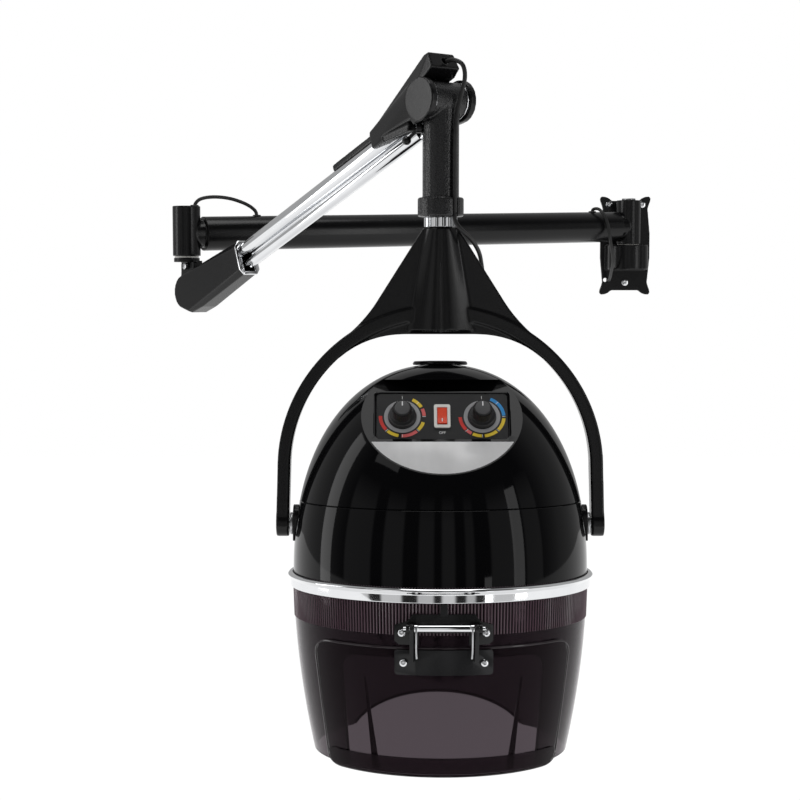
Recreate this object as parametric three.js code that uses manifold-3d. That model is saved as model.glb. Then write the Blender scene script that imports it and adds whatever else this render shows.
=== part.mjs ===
// Wall-mounted hooded hair processor: a hood with a flip-up visor hangs in a yoke under a
// folding two-stage arm. Millimetres, +Z up, +Y into the wall, origin on the wall face.
import * as THREE from 'three';
import { mergeVertices } from 'three/addons/utils/BufferGeometryUtils.js';
import { ConvexGeometry } from 'three/addons/geometries/ConvexGeometry.js';
import Module from 'manifold-3d';

const wasm = await Module();
wasm.setup();

const GAP = 0.3;

// Wall bracket
const PLATE_THICK = 9;
const HINGE_OUT = 45;
const BLOCK_HALF = 32;
const BLOCK_LOW = -39;
const BLOCK_TOP = 0.5;
const PIN_R = 7;

// Swing arm, measured from the bracket hinge to the elbow
const SWING_ANGLE = 27;
const SWING_LENGTH = 750;
const SWING_Z = 30;
const SWING_DROP = 19.5;
const SWING_R = 24;
const BARREL_R = 19.5;
const BARREL_TALL = 70;
const ROOT_LOW = 2;
const END_LOW = -20.5;

// Spring arm, from the elbow pivot to the head pivot
const ELBOW_DROP = 81;
const ARM_YAW = -51;
const ARM_SIDE = 8;
const ARM_REACH = 540;
const ARM_RISE = 223;
const ARM_R = 10.5;
const LINK_R = 7.25;
const LINK_DROP = 19.8;
const CHEEK_R = 23;
const CHEEK_IN = 8.2;
const CHEEK_OUT = 15.2;
const MOUTH_X = 145;
const ROOT_FLOOR = -29.6;
const HEAD_R = 24.5;
const FORK_IN = 25;
const FORK_OUT = 33;

// Post under the head pivot
const POST_R = 21;
const COLLAR_R = 26.5;
const COLLAR_TOP = -110;
const COLLAR_LOW = -132;
const STEM_R = 12;
const LEVER_Z = -31;

// Yoke, measured down from the head pivot
const NECK_Z = -144;
const ARCH_Z = -421;
const ARCH_R = 188;
const ARCH_WIDE = 15;
const TILT_Z = -486;
const BOSS_OUT = 190;
const BOSS_IN = 175;

// Hood, measured from its tilt axis; the trim ring lies RING_Z below it
const HOOD_TILT = 3.8;
const RING_Z = -52;
const DOME_R = 170;
const DOME_TALL = 237;
const DOME_POWER = 2.2;
const WALL = 3;
const DOME_SIDES = 36;
const SEAM = 80;
const SKIRT_TALL = 204;
const SKIRT_TAPER = 24.1;
const FACET_TILT = 50;
const PANEL_TILT = 30;
const PANEL_WIDE = 145;
const PANEL_TALL = 58;
const KNOB_X = 44;
const VISOR_TOP = -66;
const HINGE_Y = -181;
const HINGE_Z = RING_Z - 42.4;

// Looks
const BLACK_PAINT = { color: 0x0d0d0f, roughness: 0.42, metalness: 0.1 };
const GLOSS_BLACK = { color: 0x08080a, roughness: 0.08, metalness: 0 };
const CHROME = { color: 0xe4e6e8, roughness: 0.08, metalness: 1 };
const STEEL = { color: 0xa9acb0, roughness: 0.3, metalness: 1 };
const SMOKED = { color: 0x3a2c34, roughness: 0.08, metalness: 0 };
const GREY = { color: 0x4c4d50, roughness: 0.5, metalness: 0 };
const RUBBER = { color: 0x111112, roughness: 0.7, metalness: 0 };
const NYLON = { color: 0xd8d6cf, roughness: 0.55, metalness: 0 };
const RED = { color: 0xb8261a, roughness: 0.3, metalness: 0 };
const ALUMINIUM = { color: 0xb9bcc0, roughness: 0.35, metalness: 1 };

const radians = THREE.MathUtils.degToRad;
const ARM_LENGTH = Math.hypot(ARM_REACH, ARM_RISE);
const ARM_PITCH = Math.atan2(ARM_RISE, ARM_REACH);

// Closed mesh to solid: shared corners are merged and empty triangles dropped.
function solid(geometry) {
  const bare = geometry.index ? geometry.toNonIndexed() : geometry.clone();
  bare.deleteAttribute('normal');
  bare.deleteAttribute('uv');
  const merged = mergeVertices(bare, 1e-3);
  const points = merged.attributes.position;
  const kept = [];
  let volume = 0;
  const [a, b, c] = [0, 1, 2].map(() => new THREE.Vector3());
  for (let i = 0; i < merged.index.count; i += 3) {
    const [p, q, r] = [0, 1, 2].map((k) => merged.index.getX(i + k));
    if (p === q || q === r || r === p) continue;
    kept.push([p, q, r]);
    a.fromBufferAttribute(points, p);
    b.fromBufferAttribute(points, q);
    c.fromBufferAttribute(points, r);
    volume += a.dot(b.clone().cross(c));
  }
  const facing = volume < 0 ? kept.map(([p, q, r]) => [p, r, q]) : kept;
  return new wasm.Manifold(
    new wasm.Mesh({
      numProp: 3,
      vertProperties: new Float32Array(points.array),
      triVerts: new Uint32Array(facing.flat()),
    }),
  );
}

function geometryOf(body) {
  const mesh = body.getMesh();
  const geometry = new THREE.BufferGeometry();
  geometry.setAttribute('position', new THREE.BufferAttribute(new Float32Array(mesh.vertProperties), 3));
  geometry.setIndex(new THREE.BufferAttribute(new Uint32Array(mesh.triVerts), 1));
  geometry.computeVertexNormals();
  return geometry;
}

const join = (first, ...others) => others.reduce((body, other) => body.add(other), first);
const cut = (first, ...others) => others.reduce((body, other) => body.subtract(other), first);

function rod(radius, from, to, sides = 12, endRadius = radius) {
  const start = new THREE.Vector3(...from);
  const end = new THREE.Vector3(...to);
  const way = end.clone().sub(start);
  const geometry = new THREE.CylinderGeometry(endRadius, radius, way.length(), sides);
  const turn = new THREE.Quaternion().setFromUnitVectors(new THREE.Vector3(0, 1, 0), way.normalize());
  geometry.applyQuaternion(turn);
  geometry.translate(...start.add(end).multiplyScalar(0.5).toArray());
  return solid(geometry);
}

const ring = (outer, inner, from, to, sides = 16) => {
  const start = new THREE.Vector3(...from);
  const end = new THREE.Vector3(...to);
  const extra = end.clone().sub(start).normalize();
  return cut(
    rod(outer, from, to, sides),
    rod(inner, start.sub(extra).toArray(), end.add(extra).toArray(), sides),
  );
};

function block(low, high) {
  const geometry = new THREE.BoxGeometry(high[0] - low[0], high[1] - low[1], high[2] - low[2]);
  geometry.translate(...low.map((value, k) => (value + high[k]) / 2));
  return solid(geometry);
}

function ball(radius, centre, sides = 10) {
  const geometry = new THREE.SphereGeometry(radius, sides, sides / 2);
  geometry.translate(...centre);
  return solid(geometry);
}

// Profile of [radius, height] points turned about Z.
function turned(profile, sides = 36) {
  const points = profile.map(([r, z]) => new THREE.Vector2(r, z));
  const geometry = new THREE.LatheGeometry(points, sides);
  geometry.rotateX(Math.PI / 2);
  return solid(geometry);
}

const shapeOf = (points) => new THREE.Shape(points.map(([x, y]) => new THREE.Vector2(x, y)));

// Outline in X and Z, thick along Y.
function upright(shape, yLow, yHigh, curveSegments = 6, bevel = 0) {
  const geometry = new THREE.ExtrudeGeometry(shape, {
    depth: yHigh - yLow - 2 * bevel,
    curveSegments,
    bevelEnabled: bevel > 0,
    bevelSize: bevel,
    bevelThickness: bevel,
    bevelOffset: -bevel,
    bevelSegments: 1,
  });
  geometry.rotateX(Math.PI / 2);
  geometry.translate(0, yHigh - bevel, 0);
  return solid(geometry);
}

// Outline in X and Y, thick along Z.
function flat(shape, zLow, zHigh, curveSegments = 6) {
  const geometry = new THREE.ExtrudeGeometry(shape, {
    depth: zHigh - zLow,
    curveSegments,
    bevelEnabled: false,
  });
  geometry.translate(0, 0, zLow);
  return solid(geometry);
}

// Outline in Y and Z, thick along X.
function sideways(shape, xLow, xHigh) {
  const geometry = new THREE.ExtrudeGeometry(shape, { depth: xHigh - xLow, bevelEnabled: false });
  const axes = new THREE.Matrix4().makeBasis(
    new THREE.Vector3(0, 1, 0),
    new THREE.Vector3(0, 0, 1),
    new THREE.Vector3(1, 0, 0),
  );
  geometry.applyMatrix4(axes);
  geometry.translate(xLow, 0, 0);
  return solid(geometry);
}

const hull = (points) => solid(new ConvexGeometry(points.map((p) => new THREE.Vector3(...p))));

// Points of a circle that lies across Y, at the given side offsets.
function discPoints(radius, x, z, offsets, count = 24) {
  const points = [];
  for (let k = 0; k < count; k += 1) {
    const angle = (2 * Math.PI * k) / count;
    for (const y of offsets) points.push([x + radius * Math.cos(angle), y, z + radius * Math.sin(angle)]);
  }
  return points;
}

function roundedRect(wide, tall, radius, x = 0, y = 0) {
  const shape = new THREE.Shape();
  const [w, h] = [wide / 2, tall / 2];
  shape.moveTo(x - w + radius, y - h);
  shape.lineTo(x + w - radius, y - h);
  shape.absarc(x + w - radius, y - h + radius, radius, -Math.PI / 2, 0);
  shape.absarc(x + w - radius, y + h - radius, radius, 0, Math.PI / 2);
  shape.absarc(x - w + radius, y + h - radius, radius, Math.PI / 2, Math.PI);
  shape.absarc(x - w + radius, y - h + radius, radius, Math.PI, 1.5 * Math.PI);
  return shape;
}

// Round cord along a smooth route.
function cord(route, diameter, steps) {
  const path = new THREE.CatmullRomCurve3(route.map((p) => new THREE.Vector3(...p)));
  const section = new THREE.Shape();
  section.absarc(0, 0, diameter / 2, 0, 2 * Math.PI);
  return solid(new THREE.ExtrudeGeometry(section, { steps, extrudePath: path, curveSegments: 4 }));
}

function part(parent, name, body, look) {
  const mesh = new THREE.Mesh(geometryOf(body), new THREE.MeshStandardMaterial(look));
  mesh.name = name;
  parent.add(mesh);
}

const processor = new THREE.Group();

function frameAt(parent, position, rotation = [0, 0, 0]) {
  const group = new THREE.Group();
  group.position.set(...position);
  group.rotation.set(...rotation);
  parent.add(group);
  return group;
}

const swing = frameAt(processor, [0, -HINGE_OUT, 0], [0, 0, radians(180 + SWING_ANGLE)]);
const elbowAt = new THREE.Vector3(
  -SWING_LENGTH * Math.cos(radians(SWING_ANGLE)),
  -HINGE_OUT - SWING_LENGTH * Math.sin(radians(SWING_ANGLE)),
  SWING_Z - SWING_DROP - ELBOW_DROP,
);
const elbow = frameAt(processor, elbowAt.toArray(), [0, 0, radians(ARM_YAW)]);
const arm = frameAt(elbow, [0, ARM_SIDE, 0], [0, -ARM_PITCH, 0]);
const headAt = new THREE.Vector3(ARM_REACH, ARM_SIDE, ARM_RISE)
  .applyAxisAngle(new THREE.Vector3(0, 0, 1), radians(ARM_YAW))
  .add(elbowAt);
const post = frameAt(processor, headAt.toArray(), [0, 0, radians(ARM_YAW)]);
const yoke = frameAt(processor, headAt.toArray());
const hood = frameAt(yoke, [0, 0, TILT_Z], [-radians(HOOD_TILT), 0, 0]);
const panelAt = [0, -90, RING_Z + 177];
const panel = frameAt(hood, panelAt, [Math.PI / 2 - radians(PANEL_TILT), 0, 0]);

// Wall plate: bowed sides, four ears and the hinge block below the arm.
function plateOutline() {
  const shape = new THREE.Shape();
  shape.moveTo(-22, -73);
  for (const [sx, sz] of [[1, -1], [1, 1], [-1, 1], [-1, -1]]) {
    const at = (x, z) => [sx * x, sz * z];
    const ear = [at(22, 73), at(30, 81), at(38, 80), at(42.5, 79), at(40.5, 72), at(38, 66), at(36.5, 60)];
    const way = sx * sz < 0 ? ear : ear.reverse();
    shape.lineTo(...way[0]);
    shape.quadraticCurveTo(...way[1], ...way[2]);
    shape.quadraticCurveTo(...way[3], ...way[4]);
    shape.quadraticCurveTo(...way[5], ...way[6]);
    if (sz < 0 && sx > 0) shape.quadraticCurveTo(45, 0, ...at(36.5, -60));
    if (sz > 0 && sx < 0) shape.quadraticCurveTo(-45, 0, ...at(36.5, -60));
  }
  return shape;
}
const blockFront = new THREE.Shape();
blockFront.moveTo(BLOCK_HALF, -PLATE_THICK + 2);
blockFront.lineTo(-BLOCK_HALF, -PLATE_THICK + 2);
blockFront.lineTo(-BLOCK_HALF, -HINGE_OUT);
blockFront.absellipse(0, -HINGE_OUT, BLOCK_HALF, 25, Math.PI, 2 * Math.PI);
const screwSpots = { left: [-27, 67], right: [27, 67], low: [0, -60] };
const wallHoles = Object.values(screwSpots).map(([x, z]) => rod(3.5, [x, -20, z], [x, 1, z], 16));
part(
  processor,
  'wall_plate',
  cut(
    join(upright(plateOutline(), -PLATE_THICK, 0, 3), flat(blockFront, BLOCK_LOW, BLOCK_TOP, 12)),
    rod(PIN_R + GAP, [0, -HINGE_OUT, -30], [0, -HINGE_OUT, 10]),
    rod(3.4, [-32, -20, -56], [-32, 1, -56], 12),
    ...wallHoles,
  ),
  BLACK_PAINT,
);
for (const [side, [x, z]] of Object.entries(screwSpots)) {
  const front = -PLATE_THICK - GAP;
  const shank = rod(3.1, [x, front - 2, z], [x, -1, z], 12);
  const screw = join(shank, rod(6.2, [x, front, z], [x, front - 4, z], 20, 4.6));
  part(processor, `wall_screw_${side}`, screw, CHROME);
}
const pinTop = ROOT_LOW + BARREL_TALL + 0.5;
const bracketPin = join(
  rod(PIN_R, [0, -HINGE_OUT, -29], [0, -HINGE_OUT, pinTop + 1]),
  rod(11, [0, -HINGE_OUT, pinTop], [0, -HINGE_OUT, pinTop + 2.5]),
);
part(processor, 'bracket_pin', bracketPin, STEEL);
const washerLow = [0, -HINGE_OUT, BLOCK_TOP + GAP];
const washerTop = [0, -HINGE_OUT, ROOT_LOW - GAP];
part(processor, 'bracket_washer', ring(18, PIN_R + 0.4, washerLow, washerTop), NYLON);

// Swing arm: one long tube between two upright barrels, drooping slightly under its load.
const alongSwing = (x) => [x, 0, SWING_Z - (SWING_DROP * x) / SWING_LENGTH];
function endBarrel(x, low, into) {
  const body = join(
    rod(BARREL_R, [x, 0, low], [x, 0, low + BARREL_TALL], 24),
    rod(18, alongSwing(x), alongSwing(x + into * 25), 24),
    rod(SWING_R - 2.8, alongSwing(x + into * 24.3), alongSwing(x + into * 52), 24),
  );
  return cut(body, rod(PIN_R + 0.35, [x, 0, low - 1], [x, 0, low + BARREL_TALL + 1]));
}
part(swing, 'swing_root', endBarrel(0, ROOT_LOW, 1), BLACK_PAINT);
const cableHole = rod(3.1, [SWING_LENGTH - 12, 0, 36], [SWING_LENGTH - 12, 0, 60], 12);
part(swing, 'swing_end', cut(endBarrel(SWING_LENGTH, END_LOW, -1), cableHole), BLACK_PAINT);
part(
  swing,
  'swing_tube',
  cut(
    ring(SWING_R, SWING_R - 2.5, alongSwing(24), alongSwing(SWING_LENGTH - 24), 32),
    rod(3.4, [644, 0, 14], [644, 0, 50], 12),
    rod(3.4, [70, 0, 30], [70, 0, 70], 12),
  ),
  BLACK_PAINT,
);
const elbowLoop = [
  [738, 0, 40], [737, 0, 52], [728, 0, 60], [708, 0, 63], [684, 0, 61], [661, 0, 54], [647, 0, 45],
  [644, 0, 35], [644, 0, 24],
];
part(swing, 'elbow_cable', cord(elbowLoop, 5, 14), RUBBER);
const wallDrop = [
  [70, 0, 46], [70, 2, 56], [67, 15, 56], [63, 26, 44], [59, 30.5, 26], [55, 31, 2], [44, 22, -24],
  [29, -6, -46], [18.5, -25, -55], [15, -34.5, -56.2], [13, -38.6, -56.2],
];
part(swing, 'wall_cable', cord(wallDrop, 5, 18), RUBBER);

// Elbow: a flange under the barrel carries a flat tongue with the lift and link pivots.
const linkAt = [LINK_DROP * Math.sin(ARM_PITCH), -LINK_DROP * Math.cos(ARM_PITCH)];
const FLANGE_TOP = END_LOW - elbowAt.z - 2.4;
const FLANGE_LOW = FLANGE_TOP - 6;
const tongueSides = [ARM_SIDE - 7.5, ARM_SIDE + 7.5];
const tongue = hull([
  ...discPoints(18, 0, 0, tongueSides),
  ...discPoints(9, ...linkAt, tongueSides, 16),
  ...[-16, 16].flatMap((x) => tongueSides.map((y) => [x, y, FLANGE_LOW + 2])),
]);
part(
  elbow,
  'elbow_base',
  cut(
    join(tongue, rod(18, [0, 0, FLANGE_LOW], [0, 0, FLANGE_TOP], 24)),
    rod(6.35, [0, -30, 0], [0, 40, 0]),
    rod(4.3, [linkAt[0], -30, linkAt[1]], [linkAt[0], 40, linkAt[1]], 16),
    block([-4, ARM_SIDE - 4.3, -45], [40, ARM_SIDE + 4.3, -8.8]),
    block([10, ARM_SIDE - 4.3, -45], [40, ARM_SIDE + 4.3, 12]),
    rod(PIN_R + GAP, [0, 0, FLANGE_LOW + 1.5], [0, 0, 60]),
  ),
  BLACK_PAINT,
);
const elbowPinTop = END_LOW + BARREL_TALL - elbowAt.z;
part(elbow, 'elbow_pin', rod(PIN_R, [0, 0, FLANGE_LOW + 1.8], [0, 0, elbowPinTop - 1]), STEEL);
const elbowRing = ring(17, PIN_R + 0.4, [0, 0, FLANGE_TOP + GAP], [0, 0, FLANGE_TOP + 2.4 - GAP]);
part(elbow, 'elbow_washer', elbowRing, NYLON);
const nutFace = ARM_SIDE - 7.5 - GAP;
part(elbow, 'elbow_nut', rod(5, [0, nutFace, 36], [0, nutFace - 5, 36], 6), STEEL);

// Spring arm: root casting, chrome tube and forked head; X runs along the arm.
const mouth = [];
const heel = [];
for (const y of [-1, 1]) {
  mouth.push([MOUTH_X, y * CHEEK_OUT, 5], [MOUTH_X, y * 9, 14], [MOUTH_X, y * CHEEK_OUT, -26]);
  mouth.push([MOUTH_X, y * 10, -33]);
  heel.push([2, y * CHEEK_OUT, ROOT_FLOOR], [6, y * 12, ROOT_FLOOR - 4], [34, y * 12, ROOT_FLOOR - 6]);
}
const bore = (from, to) => rod(ARM_R + GAP, [from, 0, 0], [to, 0, 0], 24);
const linkWay = (from, to, low = -60) => block([from, -8.6, low], [to, 8.6, -9]);
part(
  arm,
  'arm_root',
  cut(
    hull([...discPoints(CHEEK_R, 0, 0, [-CHEEK_OUT, CHEEK_OUT]), ...mouth, ...heel]),
    block([-40, -CHEEK_IN, ROOT_FLOOR], [44, CHEEK_IN, 60]),
    bore(58, MOUTH_X + 5),
    linkWay(0, MOUTH_X + 5, ROOT_FLOOR),
    rod(6.3, [0, -13.8, 0], [0, 13.8, 0]),
  ),
  BLACK_PAINT,
);
const collar = cut(
  hull(mouth.flatMap(([, y, z]) => [MOUTH_X + GAP, MOUTH_X + 3].map((x) => [x, y * 1.03, z * 1.03]))),
  bore(MOUTH_X - 5, MOUTH_X + 8),
  linkWay(MOUTH_X - 5, MOUTH_X + 8, ROOT_FLOOR),
);
part(arm, 'mouth_ring', collar, CHROME);
part(arm, 'lift_pin', rod(6, [0, -13.5, 0], [0, 13.5, 0]), STEEL);
part(arm, 'arm_tube', ring(ARM_R, ARM_R - 2, [59, 0, 0], [546, 0, 0], 24), CHROME);

class Helix extends THREE.Curve {
  getPoint(t) {
    const angle = 2 * Math.PI * 9 * t;
    return new THREE.Vector3(160 + 260 * t, 5.6 * Math.cos(angle), 5.6 * Math.sin(angle));
  }
}
const wire = new THREE.Shape();
wire.absarc(0, 0, 1.1, 0, 2 * Math.PI);
const coil = new THREE.ExtrudeGeometry(wire, { steps: 72, extrudePath: new Helix(), curveSegments: 3 });
part(arm, 'arm_spring', solid(coil), STEEL);

const headX = ARM_LENGTH;
const both = (x, y, z) => [[x, -y, z], [x, y, z]];
const forkBody = hull([
  ...discPoints(HEAD_R, headX, 0, [-FORK_OUT, FORK_OUT]),
  ...both(headX - 118, 14, 17),
  ...both(headX - 118, 16, -5),
]);
const fin = hull([
  ...both(headX + 10, 17, 51),
  ...both(headX + 20, 19, 49),
  ...both(headX + 22, 21, 30),
  ...both(headX - 20, 24, 14),
  ...both(headX - 125, 9, 17.5),
  ...both(headX - 125, 9, 5),
]);
const tail = join(
  block([headX - 205, -7, 0], [headX - 100, 7, 16.8]),
  rod(7, [headX - 205, 0, 0], [headX - 205, 0, 16.8], 20),
);
const postSweep = upright(
  shapeOf([
    [headX - 18.5, 15.2], [headX - 69.3, -46.6], [headX - 40, -70], [headX + 60, -60],
    [headX + 60, 25], [headX, 25],
  ]),
  -FORK_IN,
  FORK_IN,
);
const leverRoom = upright(
  shapeOf([[headX - 90, -2], [headX - 24, -13.5], [headX - 18, -40], [headX - 90, -40]]),
  -40,
  -20,
);
part(
  arm,
  'arm_head',
  cut(
    join(forkBody, fin, tail),
    postSweep,
    leverRoom,
    rod(25, [headX, -FORK_IN, 0], [headX, FORK_IN, 0], 24),
    bore(headX - 230, headX - 36),
    linkWay(headX - 150, headX + 50),
    rod(PIN_R + GAP, [headX, -31.3, 0], [headX, 31.3, 0]),
    rod(4, [headX + 4, 2, 39], [headX + 40, 2, 39], 16),
  ),
  BLACK_PAINT,
);
part(arm, 'head_pin', rod(PIN_R, [headX, -31, 0], [headX, 31, 0]), STEEL);

// Link rod: runs under the chrome tube and keeps the post upright.
function linkEye(x, from, to, hole) {
  const eye = rod(7, [x, -3.9, -LINK_DROP], [x, 3.9, -LINK_DROP], 20);
  const neck = block([from, -3.9, -LINK_DROP - 6], [to, 3.9, -LINK_DROP + 6]);
  return cut(join(eye, neck), rod(hole, [x, -9, -LINK_DROP], [x, 9, -LINK_DROP], 20));
}
const linkBody = join(
  rod(LINK_R, [52, 0, -LINK_DROP], [headX - 46, 0, -LINK_DROP], 24),
  linkEye(0, 0, 54, 4.3),
  linkEye(headX, headX - 48, headX, 5.4),
);
part(arm, 'link_rod', linkBody, CHROME);
function linkPin(y, half) {
  const [x, z] = linkAt;
  return rod(4, [x, y - half, z], [x, y + half, z], 16);
}
part(elbow, 'link_pin_low', linkPin(ARM_SIDE, 7.2), STEEL);
part(post, 'link_pin_high', linkPin(0, 15), STEEL);

// Post: cross barrel in the fork, tube, collar with a notch for the cable.
const leverWay = new THREE.Vector3(-0.629, -0.777, 0).normalize();
const leverPoint = (reach, z) => [leverWay.x * reach, leverWay.y * reach, z];
const linkSlot = upright(
  shapeOf([[17.5, -9.6], [17.5, -27.5], [5, -29.5], [-30, -60], [-30, -9.6]]),
  -4.4,
  4.4,
);
part(
  post,
  'post_body',
  cut(
    join(
      rod(POST_R, [0, -22, 0], [0, 22, 0], 24),
      rod(POST_R, [0, 0, COLLAR_LOW], [0, 0, 0], 24),
      turned([[0, COLLAR_LOW], [COLLAR_R - 1.5, COLLAR_LOW], [COLLAR_R, COLLAR_LOW + 1.5],
        [COLLAR_R, COLLAR_TOP - 1.5], [COLLAR_R - 1.5, COLLAR_TOP], [0, COLLAR_TOP]], 24),
    ),
    rod(PIN_R + 0.35, [0, -30, 0], [0, 30, 0]),
    linkSlot,
    rod(4.3, [linkAt[0], -15.4, linkAt[1]], [linkAt[0], 15.4, linkAt[1]], 16),
    rod(STEM_R + 0.8, [0, 0, COLLAR_LOW - 2], [0, 0, -65]),
    block([POST_R + 0.2, -3.4, COLLAR_LOW - 2], [POST_R + 9, 3.4, COLLAR_TOP + 2]),
    rod(4.3, leverPoint(11.5, LEVER_Z), leverPoint(30, LEVER_Z), 16),
  ),
  BLACK_PAINT,
);
for (const [side, sign] of [['near', -1], ['far', 1]]) {
  const face = ring(21.5, PIN_R + 0.4, [0, sign * 22.4, 0], [0, sign * 24.6, 0]);
  part(post, `head_washer_${side}`, face, CHROME);
}
const leverBody = join(
  rod(4, leverPoint(12, LEVER_Z), leverPoint(26, LEVER_Z), 16),
  rod(6, leverPoint(21.6, LEVER_Z), leverPoint(28, LEVER_Z), 16),
  rod(2.2, leverPoint(25, LEVER_Z), leverPoint(39, LEVER_Z - 14.5), 12),
  ball(5.4, leverPoint(39, LEVER_Z - 14.5)),
);
part(post, 'tension_lever', leverBody, BLACK_PAINT);
const postRoute = [
  [8, 2, 43], [18, 3, 44], [29, 7, 38], [31, 9, 24], [27, 7, 4], [25, 3, -16], [24.6, 0.5, -44],
  [24.6, 0, -80], [24.6, 0, -106], [24.6, 0, -128],
];
part(post, 'post_cable', cord(postRoute, 5, 16), RUBBER);

// Yoke: stem, conical spine, triangular hub and the arch down to the tilt bosses.
const hub = new THREE.Shape();
hub.moveTo(-19.5, NECK_Z);
hub.lineTo(19.5, NECK_Z);
hub.lineTo(74, -230);
hub.quadraticCurveTo(92, -258, 128, -284);
hub.lineTo(116, -293);
hub.quadraticCurveTo(84, -266, 40, -266);
hub.lineTo(-40, -266);
hub.quadraticCurveTo(-84, -266, -116, -293);
hub.lineTo(-128, -284);
hub.quadraticCurveTo(-92, -258, -74, -230);
const arch = new THREE.Shape();
arch.moveTo(BOSS_OUT, TILT_Z);
arch.absarc(0, ARCH_Z, ARCH_R, 0, Math.PI);
arch.lineTo(-BOSS_OUT, TILT_Z);
arch.lineTo(-BOSS_IN, TILT_Z);
arch.absarc(0, ARCH_Z, ARCH_R - ARCH_WIDE, Math.PI, 0, true);
arch.lineTo(BOSS_IN, TILT_Z);
const yokeParts = [
  upright(arch, -12, 12, 14, 2),
  rod(19.5, [0, 0, NECK_Z], [0, 0, -262], 32, 23),
  rod(STEM_R, [0, 0, NECK_Z - 2], [0, 0, -66]),
];
const yokeCuts = [rod(3.3, [45, 2, -225], [45, 20, -225], 12)];
for (const side of [-1, 1]) {
  yokeParts.push(rod(15, [side * BOSS_IN, 0, TILT_Z], [side * BOSS_OUT, 0, TILT_Z], 24));
  yokeCuts.push(rod(5.35, [side * 160, 0, TILT_Z], [side * 200, 0, TILT_Z], 20));
  yokeCuts.push(rod(9.4, [side * (BOSS_OUT - 4.8), 0, TILT_Z], [side * 200, 0, TILT_Z], 24));
}
const yokeBody = cut(join(upright(hub, -10, 10, 3, 1.5), ...yokeParts), ...yokeCuts);
part(yoke, 'yoke_body', yokeBody, BLACK_PAINT);
const teeth = [];
for (let k = 0; k < 10; k += 1) {
  const angle = (2 * Math.PI * k) / 10;
  const [x, y] = [19.2 * Math.cos(angle), 19.2 * Math.sin(angle)];
  teeth.push(rod(1.6, [x, y, NECK_Z], [x, y, COLLAR_LOW], 4));
}
const swivelRing = cut(
  ring(19, STEM_R + 0.4, [0, 0, NECK_Z + 0.4], [0, 0, COLLAR_LOW - 0.5], 20),
  ...teeth,
);
part(yoke, 'swivel_ring', swivelRing, CHROME);
const yokeRoute = [
  [15.4, -19, -129], [16, -20.5, -137], [22, -21, -146], [32, -16, -155], [39.5, -4, -164],
  [45, 8, -174], [48, 17, -187], [50, 22, -201], [50, 21.5, -213], [47.5, 17, -222], [45.4, 12, -225], [45, 5, -225],
];
part(yoke, 'yoke_cable', cord(yokeRoute, 5, 16), RUBBER);
for (const [side, sign] of [['left', -1], ['right', 1]]) {
  const from = [sign * 170.5, 0, TILT_Z];
  const to = [sign * (BOSS_IN - 1.2), 0, TILT_Z];
  part(yoke, `tilt_washer_${side}`, ring(13, 5.4, from, to, 20), STEEL);
}

// Hood shells: a rounded dome in two halves with a sloped facet and a control housing in front.
function domeRadius(height, grow = 0) {
  const level = Math.min(Math.max(height / (DOME_TALL + grow), 0), 1);
  return (DOME_R + grow) * (1 - level ** DOME_POWER) ** (1 / DOME_POWER);
}
function domeSolid(low, grow = 0, rows = 7, sides = DOME_SIDES) {
  const profile = [[0, RING_Z + low]];
  for (let k = 0; k < rows; k += 1) {
    const share = Math.sin((k / rows) * Math.PI * 0.5);
    const height = low + (DOME_TALL + grow - low) * share;
    profile.push([domeRadius(height, grow), RING_Z + height]);
  }
  profile.push([0, RING_Z + DOME_TALL + grow]);
  return turned(profile, sides);
}
const slope = Math.tan(radians(FACET_TILT));
function facetCut(inward) {
  const shift = inward / Math.cos(radians(FACET_TILT));
  const brow = 219 + inward;
  const reach = (height) => -(148 - slope * (height - 121)) + shift;
  return sideways(
    shapeOf([
      [reach(85), RING_Z + 85], [reach(brow), RING_Z + brow], [-260, RING_Z + brow], [-260, RING_Z + 85],
    ]),
    -200,
    200,
  );
}
function inPanelFrame(body) {
  const geometry = geometryOf(body);
  geometry.rotateX(Math.PI / 2 - radians(PANEL_TILT));
  geometry.translate(...panelAt);
  return solid(geometry);
}
const housing = (grow, low, high) =>
  inPanelFrame(flat(roundedRect(PANEL_WIDE + grow, PANEL_TALL + grow, 5), low, high, 3));
const shellOut = join(cut(domeSolid(SEAM + 0.2), facetCut(0)), housing(7, -46, 3.2));
const shellIn = join(cut(domeSolid(40, -WALL), facetCut(WALL)), housing(1, -60, 20));
const belowSeam = block([-300, -300, -200], [300, 300, RING_Z + SEAM + 0.2]);
part(hood, 'upper_shell', cut(shellOut, shellIn, belowSeam), GLOSS_BLACK);

const lowerProfile = [];
const LOWER_ROWS = [-1.2, 40, SEAM - 0.2];
for (const height of LOWER_ROWS) lowerProfile.push([domeRadius(height), RING_Z + height]);
const lipOut = domeRadius(SEAM + 6, -WALL) - 0.5;
lowerProfile.push([lipOut, RING_Z + SEAM - 0.2], [lipOut, RING_Z + SEAM + 6]);
lowerProfile.push([lipOut - 2.4, RING_Z + SEAM + 6], [lipOut - 2.4, RING_Z + SEAM - 4]);
for (const height of [40, -1.2]) lowerProfile.push([domeRadius(height) - WALL, RING_Z + height]);
lowerProfile.push(lowerProfile[0]);
const boltHoles = rod(5.4, [-200, 0, 0], [200, 0, 0], 20);
part(hood, 'lower_shell', cut(turned(lowerProfile, DOME_SIDES), boltHoles), GLOSS_BLACK);

const capLow = RING_Z + DOME_TALL + GAP;
const capProfile = [[0, 0], [28, 0], [31, -1.6], [32, 0], [30, 3], [0, 3.6]];
part(hood, 'top_cap', turned(capProfile.map(([r, z]) => [r, capLow + z]), 24), GLOSS_BLACK);

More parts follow.
